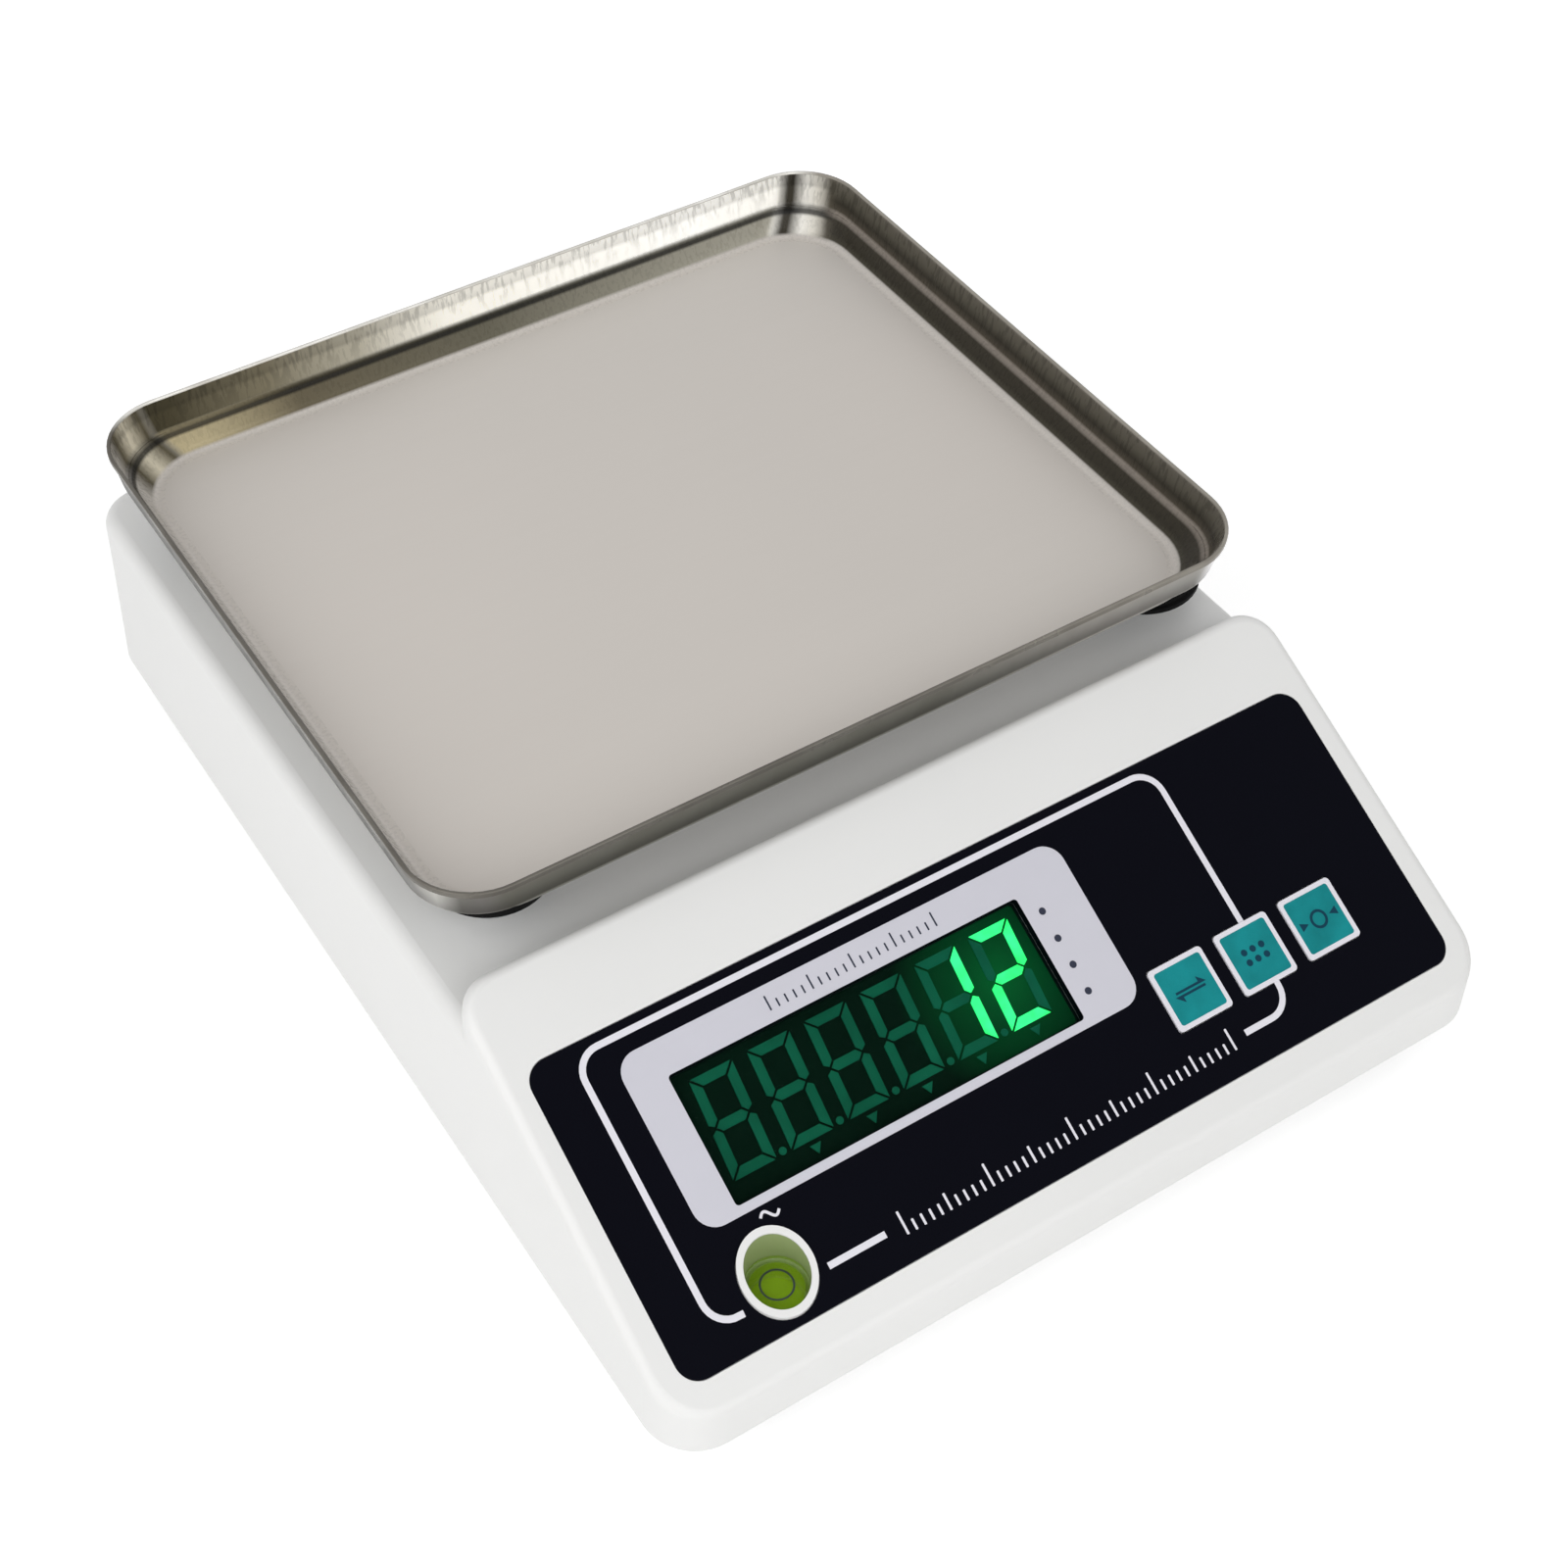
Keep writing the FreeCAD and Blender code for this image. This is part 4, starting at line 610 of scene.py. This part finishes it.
def glowing(name, core, edge, strength):
    """Lit light guide: uneven glow through a milky bar."""
    material, bsdf = shader(name, core, roughness=0.4)
    haze = ramp(material, object_noise(material, scale=260.0, detail=2.0), low=0.0, high=1.0)
    colour = blend(material, haze, core, edge)
    link(material, colour, bsdf.inputs["Base Color"])
    link(material, colour, bsdf.inputs["Emission Color"])
    bsdf.inputs["Emission Strength"].default_value = strength
    bump(material, bsdf, haze, distance=0.00002, strength=0.3)
    return material


def clear(name, colour, roughness, cover, shine):
    """Thin see-through plastic; cover is how much of what lies behind it hides."""
    material, bsdf = shader(name, colour, roughness, shine=shine)
    bsdf.inputs["Alpha"].default_value = cover
    bump(material, bsdf, object_noise(material, scale=400.0), distance=0.000004, strength=0.2)
    return material


def metal(name, colour, roughness, scale=900.0, spread=0.08):
    """Plated or machined metal with fine uneven roughness."""
    material, bsdf = shader(name, colour, roughness, metallic=1.0)
    grains = object_noise(material, scale, detail=4.0)
    gloss(material, bsdf, grains, roughness, roughness + spread)
    bump(material, bsdf, grains, distance=0.00001, strength=0.3)
    return material


def circuit():
    """Green solder mask over faint traces."""
    material, bsdf = shader("circuit_mask", (0.02, 0.16, 0.06), roughness=0.3)
    traces = add(material, "ShaderNodeTexBrick")
    traces.inputs["Scale"].default_value = TRACE_SCALE
    traces.inputs["Color1"].default_value = (0.02, 0.15, 0.06, 1)
    traces.inputs["Color2"].default_value = (0.025, 0.19, 0.075, 1)
    traces.inputs["Mortar"].default_value = (0.05, 0.28, 0.12, 1)
    traces.inputs["Mortar Size"].default_value = TRACE_WIDTH
    link(material, object_place(material), traces.inputs["Vector"])
    link(material, traces.outputs["Color"], bsdf.inputs["Base Color"])
    bump(material, bsdf, traces.outputs["Fac"], distance=0.00002, strength=0.3)
    return material


def make_materials():
    return {
        "white": moulded("white_shell", (0.83, 0.83, 0.82), 0.42),
        "base": moulded("grey_tray", (0.74, 0.74, 0.73), 0.5),
        "steel_floor": steel_floor(),
        # Walls and rim of the pan: steel with painted reflections, shade and highlights
        "steel_outer": steel_outer(),
        "steel_rim": steel_rim(),
        "steel_inner": steel_inner(),
        "navy": film("navy_film", (0.0024, 0.0026, 0.0058), 0.3, shine=0.03),
        "label": film("label_ink", (0.64, 0.635, 0.70), 0.32, shine=0.15, spread=0.02),
        "white_ink": film("white_ink", (0.80, 0.79, 0.85), 0.3, shine=0.15, spread=0.02),
        "dark_ink": film("dark_ink", (0.03, 0.035, 0.06), 0.35),
        "teal": film("teal_ink", (0.012, 0.29, 0.31), 0.3, shine=0.06, spread=0.3),
        "key_ink": film("key_ink", (0.006, 0.05, 0.085), 0.35, shine=0.08),
        "window": clear("tinted_window", (0.001, 0.016, 0.008), 0.12, cover=0.12, shine=0.03),
        "face": display_face(),
        "dull": film("segment_off", (0.008, 0.18, 0.095), 0.5, shine=0.04, spread=0.3),
        "lit": glowing("segment_on", (0.015, 1.0, 0.13), (0.03, 0.85, 0.24), strength=1.35),
        "acrylic": clear("vial_acrylic", (0.36, 0.60, 0.02), 0.08, cover=0.25, shine=0.12),
        "liquid": clear("level_liquid", (0.32, 0.58, 0.003), 0.1, cover=0.4, shine=0.1),
        "vial_floor": film("vial_floor", (0.42, 0.74, 0.006), 0.5, shine=0.05, spread=0.15),
        # Painted shade with a green tint for the wall of the level's well
        "well_shade": moulded("level_well_shade", (0.34, 0.41, 0.20), 0.45, spread=0.06),
        "rubber": moulded("black_rubber", (0.005, 0.005, 0.005), 0.75, grain=0.00003, scale=1500.0,
                          spread=0.002, shine=0.12),
        "black": moulded("black_plastic", (0.018, 0.018, 0.019), 0.45, spread=0.005),
        "alloy": metal("cast_alloy", (0.55, 0.56, 0.57), 0.42, scale=500.0, spread=0.15),
        "beam": metal("machined_alloy", (0.72, 0.73, 0.74), 0.28),
        "screw": metal("zinc_plate", (0.62, 0.61, 0.58), 0.25),
        "brass": metal("turned_brass", (0.72, 0.52, 0.22), 0.25),
        "board": circuit(),
        "cream": moulded("cream_nylon", (0.72, 0.67, 0.52), 0.5),
        "foam": moulded("grey_foam", (0.10, 0.10, 0.11), 0.9, grain=0.0001, scale=900.0),
        "coating": moulded("gauge_coating", (0.70, 0.70, 0.66), 0.6),
        "grey_lead": moulded("grey_sheath", (0.25, 0.26, 0.27), 0.5),
    }


def named(start, ends):
    return [start + end for end in ends]


PAINTED = {
    "white": ["upper_housing"],
    "base": ["lower_housing", "battery_cover"],
    "steel_floor": ["weighing_pan"],
    "navy": ["panel_overlay"],
    "window": ["display_window"],
    "face": ["display_body"],
    "dull": ["display_segments"],
    "lit": ["display_segments_lit"],
    "white_ink": named("key_", KEYS),
    "acrylic": ["level_vial"],
    "liquid": ["level_liquid"],
    "rubber": ["pan_pads", *named("foot_pad_", FEET)],
    "alloy": ["pan_support", "support_pedestal"],
    "beam": ["load_cell", "load_cell_spacer"],
    "coating": ["gauge_covers"],
    "screw": ["housing_screws", "support_screws", "load_cell_screws", "overload_screw", "overload_nut",
              "display_board_screws", "main_board_screws", "jack_nut"],
    "brass": ["foot_inserts"],
    "board": ["display_board", "main_board"],
    "cream": ["board_connectors", "panel_header"],
    "foam": ["battery_foam"],
    "grey_lead": ["cell_lead", "panel_ribbon"],
    "black": ["battery", "board_parts", "buzzer", "battery_lead", "power_leads", "power_switch",
              "power_rocker", "power_jack", "key_switches", *named("switch_button_", KEYS),
              *named("foot_screw_", FEET)],
}


def paint_nodes(made):
    for name, painted in PAINTED.items():
        for node in painted:
            nodes[node].data.materials.clear()
            nodes[node].data.materials.append(made[name])


# Printing on the panel, in mm from its rear left corner

LABEL = (15.8, 116.6, 6.0, 41.4)
LABEL_RADIUS = 4.5
WINDOW = (23.7, 103.2, 13.0, 39.6)
WINDOW_RADIUS = 0.8
FRAME_LEFT = 9.5
FRAME_TOP = 2.3
FRAME_RIGHT = 143.7
FRAME_BOTTOM = 56.6
FRAME_RADIUS = 5.0
FRAME_START = 15.6
FRAME_END = 131.8
DASH = (33.7, 46.3)
LINE_WIDTH = 1.3
KEY_TOP = 37.5
KEY_BOTTOM = 50.8
UNIT_DOTS_U = 106.8
UNIT_DOTS_V = (17.6, 23.6, 29.4, 35.2)
UNIT_DOT_RADIUS = 0.75
WAVE_PLACE = (28.6, 43.4)
WAVE_LENGTH = 4.0
WAVE_HEIGHT = 0.8
WAVE_WIDTH = 0.55
WAVE_STEPS = 16


def panel_arc(u, v, start, end):
    x, s = from_corner(u, v)
    return arc(x, s, FRAME_RADIUS, start, end)


def print_frame(ink):
    """White line around the display area, broken by the keys, the level and the scale."""
    corner = FRAME_RADIUS
    main_line = [from_corner(FRAME_START, FRAME_BOTTOM)]
    main_line += panel_arc(FRAME_LEFT + corner, FRAME_BOTTOM - corner, 270, 180)[1:]
    main_line += panel_arc(FRAME_LEFT + corner, FRAME_TOP + corner, 180, 90)
    main_line += panel_arc(FRAME_RIGHT - corner, FRAME_TOP + corner, 90, 0)
    main_line += [from_corner(FRAME_RIGHT, KEY_TOP)]
    tail = [from_corner(FRAME_RIGHT, KEY_BOTTOM)]
    tail += panel_arc(FRAME_RIGHT - corner, FRAME_BOTTOM - corner, 0, -90)
    tail += [from_corner(FRAME_END, FRAME_BOTTOM)]
    dash = [from_corner(u, FRAME_BOTTOM) for u in DASH]
    for name, line in (("frame_line", main_line), ("frame_line_end", tail), ("frame_line_dash", dash)):
        printed(name, [stroke(line, LINE_WIDTH)], ink)


def graduation(name, ink, start, foot, pitch, count, width, radius, lengths, layer):
    """Row of ticks on a line; lengths pairs an interval with the length of the ticks at its multiples."""
    ticks = []
    for index in range(count):
        length = next(size for interval, size in lengths if index % interval == 0)
        u = start + index * pitch
        ticks.append(panel_rect(u, u + width, foot - length, foot, radius))
    printed(name, ticks, ink, layer)


def print_label(ink, dark):
    printed("label_area", [panel_rect(*LABEL, LABEL_RADIUS), panel_rect(*WINDOW, WINDOW_RADIUS)], ink)
    graduation("label_ticks", dark, start=47.5, foot=10.9, pitch=1.9, count=21, width=0.35, radius=0.1,
               lengths=((5, 3.0), (1, 1.7)), layer=2)
    marks = [round_outline(*from_corner(UNIT_DOTS_U, v), UNIT_DOT_RADIUS) for v in UNIT_DOTS_V]
    printed("label_marks", marks, dark, layer=2)


def print_scale(ink):
    """Plain graduation where the front of the panel has room for it."""
    graduation("panel_scale", ink, start=50.0, foot=58.6, pitch=1.95, count=41, width=0.5, radius=0.15,
               lengths=((10, 4.6), (5, 3.4), (1, 2.2)), layer=1)


def print_supply_mark(ink):
    x, s = from_corner(*WAVE_PLACE)
    wave = []
    for step in range(WAVE_STEPS + 1):
        share = step / WAVE_STEPS
        wave.append((x + (share - 0.5) * WAVE_LENGTH, s + WAVE_HEIGHT * math.sin(2 * math.pi * share)))
    printed("supply_mark", [stroke(wave, WAVE_WIDTH)], ink)


# Keys, with outlines in mm from the key's centre

KEY_FIRST_U = 126.15
KEY_PITCH = 16.55
KEY_V = 44.15
KEY_RAISE = 0.3
KEY_HALF = 5.65
KEY_RADIUS = 0.6
DOT_PITCH = 2.2
DOT_RADIUS = 0.7
KEY_MARKS = {
    "unit": [[(-3.4, 0.6), (2.2, 0.6), (2.2, 1.7), (3.9, 0.1), (-3.4, 0.1)],
             [(3.4, -0.8), (-2.2, -0.8), (-2.2, -1.9), (-3.9, -0.3), (3.4, -0.3)]],
    "count": [round_outline(column * DOT_PITCH, row * DOT_PITCH, DOT_RADIUS)
              for column in (-1, 0, 1) for row in (-0.5, 0.5)],
    "tare": [round_outline(0, 0, 2.0), round_outline(0, 0, 1.4),
             [(-4.6, 0.9), (-2.7, 0), (-4.6, -0.9)], [(4.6, 0.9), (2.7, 0), (4.6, -0.9)]],
}


def print_key(name, index, teal, ink):
    """Teal field inside the key's white border, with a plain mark."""
    x, s = from_corner(KEY_FIRST_U + index * KEY_PITCH, KEY_V)
    field = rounded(x - KEY_HALF, x + KEY_HALF, s - KEY_HALF, s + KEY_HALF, KEY_RADIUS)
    mark = [moved(outline, x, s) for outline in KEY_MARKS[name]]
    body = "key_" + name
    top = KEY_RAISE + PRINT_THICK
    filled("key_face_" + name, [field], KEY_RAISE, top, PANEL, teal, body)
    filled("key_mark_" + name, mark, top, top + PRINT_THICK, PANEL, ink, body)


# Window edge, in mm over the panel's top face

BORDER_WIDTH = 1.7
BORDER_HEIGHTS = (-1.98, -1.92)
LINER_START = 0.06
LINER_END = 0.36
LINER_HEIGHTS = (-2.9, -2.03)


def window_liner(dark):
    """Dark edge round the digits: a border behind the window, and the walls of the opening below."""
    left, right, top, bottom = WINDOW
    wide, edge, small = [panel_rect(left - out, right + out, top - out, bottom + out, WINDOW_RADIUS)
                         for out in (BORDER_WIDTH, -LINER_START, -LINER_END)]
    filled("window_border", [wide, edge], *BORDER_HEIGHTS, PANEL, dark, "base")
    filled("window_liner", [edge, small], *LINER_HEIGHTS, PANEL, dark, "base")


# Rubber pads under the pan, in mm

PAD_RADIUS = 12.5
PAD_FOOT_RADIUS = 13.4
PAD_FOOT_INNER = 12.3
PAD_FOOT_HEIGHTS = (0.02, 1.1)
PAD_STEPS = 48


def pad_flanges(rubber):
    """Thin wider foot of the two rubber pads on the right, of which the photo shows more."""
    low, high = in_mm(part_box("pan_pads"))
    x = high[0] - PAD_RADIUS
    outlines = []
    for y in (low[1] + PAD_RADIUS, high[1] - PAD_RADIUS):
        for radius in (PAD_FOOT_RADIUS, PAD_FOOT_INNER):
            outlines.append(round_outline(x, y, radius, PAD_STEPS))
    place = Matrix.Translation((0, 0, low[2] * MM))
    filled("pad_flanges", outlines, *PAD_FOOT_HEIGHTS, place, rubber, "platform", smooth=True)


# Round level: radii and heights in mm

LEVEL_STEPS = 40
LEVEL_RING = (3.3, 2.95)
LEVEL_DISC = 5.2
LEVEL_DISC_HEIGHTS = (0.82, 0.88)
# Sheet of painted shade on the well's wall: its radius, drop under the rim and sink under the vial's top
COLLAR_SHADE_RADIUS = 6.17
COLLAR_SHADE_DROP = 0.25
COLLAR_SHADE_SINK = 1.0
COLLAR_RAISE = 0.5


def collar_height(y):
    """Height in mm of the collar's sloped rim at y."""
    centre = panel_centre()
    return centre.z + (y - centre.y) * math.tan(TILT) + COLLAR_RAISE / math.cos(TILT)


def collar_well_shade(x, y, top, material):
    """Painted shade with a green tint on the wall of the well, from below the vial's top up to just under the
    sloped rim.
    """
    points = []
    faces = []
    for step in range(LEVEL_STEPS):
        turn = 2 * math.pi * step / LEVEL_STEPS
        px = x + COLLAR_SHADE_RADIUS * math.cos(turn)
        py = y + COLLAR_SHADE_RADIUS * math.sin(turn)
        for height in (top - COLLAR_SHADE_SINK, collar_height(py) - COLLAR_SHADE_DROP):
            points.append((px * MM, py * MM, height * MM))
        after = (step + 1) % LEVEL_STEPS
        faces.append((2 * step, 2 * step + 1, 2 * after + 1, 2 * after))
    mesh = bpy.data.meshes.new("level_well_shade")
    mesh.from_pydata(points, [], faces)
    mesh.shade_smooth()
    new_object("level_well_shade", mesh, material, "base")


def level_details(made):
    """Dark centring ring on the vial's cap, painted shade with a green tint on the wall of its well, and
    green disc on its floor.
    """
    low, high = in_mm(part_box("level_vial"))
    x, y = middle(low, high)[:2]
    cap = Matrix.Translation((0, 0, high[2] * MM))
    floor = Matrix.Translation((0, 0, low[2] * MM))
    rings = [round_outline(x, y, radius, LEVEL_STEPS) for radius in LEVEL_RING]
    filled("level_ring", rings, 0, PRINT_THICK, cap, made["dark_ink"], "base")
    collar_well_shade(x, y, high[2], made["well_shade"])
    filled("level_floor", [round_outline(x, y, LEVEL_DISC, LEVEL_STEPS)], *LEVEL_DISC_HEIGHTS, floor,
           made["vial_floor"], "base")


# Rear and underside, in mm

# The rocker's pivot in from the left and the rear of its box, and the middles of its two faces from there
ROCKER_PIVOT = (7.8, 5.47)
ROCKER_FLAT = (-4.2, 3.22)
ROCKER_RAISED = (2.91, 4.33)
ROCKER_TILT = math.radians(18)
ROCKER_RING = (1.5, 1.0)
ROCKER_RING_STEPS = 32
ROCKER_BAR_WIDTH = 0.56
ROCKER_BAR_LENGTH = 3.2
ROCKER_BAR_RADIUS = 0.2
ROCKER_PRINT = 0.04
# Screws of the right half; each has a twin on the left
FRONT_SCREW = (30.0, -115.5)
SIDE_SCREW = (87.0, -30.0)
REAR_SCREW_FROM_JACK = 12.0
REAR_SCREW_Y = 114.0
SLOT_HALF_LENGTH = 1.55
SLOT_HALF_WIDTH = 0.32
SLOT_RADIUS = 0.1
SLOT_DEPTHS = (0.03, 0.04)


def rocker_marks(ink):
    """Ring and bar on the two faces of the power switch's rocker."""
    low, high = in_mm(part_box("power_rocker"))
    pivot = Vector((low[0] + ROCKER_PIVOT[0], high[1] - ROCKER_PIVOT[1], (low[2] + high[2]) / 2))
    outward = Matrix.Rotation(math.radians(-90), 4, "X")
    flat = Matrix.Translation((pivot + Vector((*ROCKER_FLAT, 0))) * MM)
    raised = Matrix.Translation((pivot + Vector((*ROCKER_RAISED, 0))) * MM)
    tilted = raised @ Matrix.Rotation(ROCKER_TILT, 4, "Z")
    ring = [round_outline(0, 0, radius, ROCKER_RING_STEPS) for radius in ROCKER_RING]
    bar = rounded(-ROCKER_BAR_WIDTH / 2, ROCKER_BAR_WIDTH / 2, -ROCKER_BAR_LENGTH / 2,
                  ROCKER_BAR_LENGTH / 2, ROCKER_BAR_RADIUS)
    filled("rocker_ring", ring, 0, ROCKER_PRINT, flat @ outward, ink, "rocker")
    filled("rocker_bar", [bar], 0, ROCKER_PRINT, tilted @ outward, ink, "rocker")


def screw_crosses(dark):
    """Black crosses on the heads of the screws on the underside, painted shade that stands in for their cross
    recesses.
    """
    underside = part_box("housing_screws")[0][2]
    jack_x = middle(*in_mm(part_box("power_jack")))[0]
    rear_screw = (jack_x + REAR_SCREW_FROM_JACK, REAR_SCREW_Y)
    heads = [(side * x, y) for x, y in (FRONT_SCREW, rear_screw, SIDE_SCREW) for side in (-1, 1)]
    holder = Matrix.Translation((0, 0, underside))
    halves = ((SLOT_HALF_LENGTH, SLOT_HALF_WIDTH), (SLOT_HALF_WIDTH, SLOT_HALF_LENGTH))
    for index, (half_x, half_y) in enumerate(halves):
        slots = [rounded(x - half_x, x + half_x, y - half_y, y + half_y, SLOT_RADIUS) for x, y in heads]
        filled(f"screw_slots_{index + 1}", slots, -SLOT_DEPTHS[index], 0, holder, dark, "base")


# Stage, lights and camera, in metres

FLOOR_HALF = 6.0
FLOOR_TONE = (0.9, 0.9, 0.9)
FLOOR_ROUGHNESS = 0.9
FLOOR_GLOW = 0.45
HORIZON = (0.26, 0.255, 0.24)
ROOM_PLACE = 0.35
ROOM = 0.44
OVERHEAD = 0.54
# Name, place, point it is aimed at, size and watts
LIGHTS = (
    ("key", (-0.75, -0.15, 0.6), (0, 0, 0.05), (0.9, 0.9), 3.8),
    ("fill", (-0.05, -1.05, 0.82), (0, 0, 0.05), (1.0, 0.6), 3.7),
    ("front", (0.0, -1.2, 0.26), (0, 0, 0.06), (1.4, 0.3), 1.6),
)
CAMERA_PLACE = (-0.21141, -0.31287, 0.43531)
CAMERA_RIGHT = (0.845939, -0.533264, 0.004032)
CAMERA_UP = (0.376639, 0.602798, 0.703404)
CAMERA_LENS = 59.1514
CAMERA_SENSOR = 36.0
CAMERA_SHIFT = (0.04971, -0.0695)
CAMERA_CLIP = (0.01, 50)


def seen_white(material):
    """1 for the rays in which the camera, metal or glass sees the background, else 0."""
    path = add(material, "ShaderNodeLightPath")
    total = path.outputs["Is Camera Ray"]
    for kind in ("Is Glossy Ray", "Is Transmission Ray"):
        either = add(material, "ShaderNodeMath", operation="MAXIMUM")
        link(material, total, either.inputs[0])
        link(material, path.outputs[kind], either.inputs[1])
        total = either.outputs[0]
    return total


def make_stage():
    """White floor that catches soft shadows and glows only for the rays that see it."""
    mesh = bpy.data.meshes.new("floor")
    corners = [(x * FLOOR_HALF, y * FLOOR_HALF, 0) for x, y in ((-1, -1), (1, -1), (1, 1), (-1, 1))]
    mesh.from_pydata(corners, [], [(0, 1, 2, 3)])
    floor = bpy.data.objects.new("floor", mesh)
    bpy.context.scene.collection.objects.link(floor)
    material, bsdf = shader("floor_white", FLOOR_TONE, FLOOR_ROUGHNESS)
    bsdf.inputs["Emission Color"].default_value = (*WHITE, 1)
    scaled = add(material, "ShaderNodeMath", operation="MULTIPLY")
    scaled.inputs[1].default_value = FLOOR_GLOW
    link(material, seen_white(material), scaled.inputs[0])
    link(material, scaled.outputs[0], bsdf.inputs["Emission Strength"])
    floor.data.materials.append(material)


def make_world():
    """Soft room: bright above, dimmer at the horizon; white where the camera looks past the floor."""
    world = bpy.data.worlds.new("studio")
    bpy.context.scene.world = world
    world.use_nodes = True
    place = add(world, "ShaderNodeTexCoord")
    split = add(world, "ShaderNodeSeparateXYZ")
    link(world, place.outputs["Generated"], split.inputs[0])
    room = bands(world, split.outputs["Z"], ((0.0, HORIZON), (1.0, OVERHEAD), (ROOM_PLACE, ROOM)))
    background = world.node_tree.nodes["Background"]
    link(world, blend(world, seen_white(world), room, WHITE), background.inputs["Color"])
    background.inputs["Strength"].default_value = 1.0


def make_lights():
    for name, place, target, size, power in LIGHTS:
        light = bpy.data.lights.new(name, "AREA")
        light.shape = "RECTANGLE"
        light.size, light.size_y = size
        light.energy = power
        lamp = bpy.data.objects.new(name, light)
        lamp.location = place
        lamp.rotation_euler = (Vector(target) - Vector(place)).to_track_quat("-Z", "Y").to_euler()
        bpy.context.scene.collection.objects.link(lamp)


def make_camera():
    """Camera solved from the edges of the pan and the panel in the photograph."""
    right = Vector(CAMERA_RIGHT)
    up = Vector(CAMERA_UP)
    camera = bpy.data.cameras.new("camera")
    camera.lens = CAMERA_LENS
    camera.sensor_width = CAMERA_SENSOR
    camera.shift_x, camera.shift_y = CAMERA_SHIFT
    camera.clip_start, camera.clip_end = CAMERA_CLIP
    viewer = bpy.data.objects.new("camera", camera)
    turn = Matrix((right, up, right.cross(up))).transposed()
    viewer.matrix_world = Matrix.Translation(CAMERA_PLACE) @ turn.to_4x4()
    bpy.context.scene.collection.objects.link(viewer)
    bpy.context.scene.camera = viewer


def make_pieces(made):
    """All pieces that the frame doesn't hold."""
    print_frame(made["white_ink"])
    print_label(made["label"], made["dark_ink"])
    window_liner(made["navy"])
    pad_flanges(made["rubber"])
    print_scale(made["white_ink"])
    print_supply_mark(made["white_ink"])
    for index, name in enumerate(KEYS):
        print_key(name, index, made["teal"], made["key_ink"])
    level_details(made)
    rocker_marks(made["white_ink"])
    screw_crosses(made["black"])
    pan_sheet([made[name] for name in ("steel_floor", "steel_outer", "steel_rim", "steel_inner")])


def main():
    made = make_materials()
    paint_nodes(made)
    make_pieces(made)
    make_stage()
    make_world()
    make_lights()
    make_camera()
    bpy.context.scene.view_settings.view_transform = "Standard"


main()
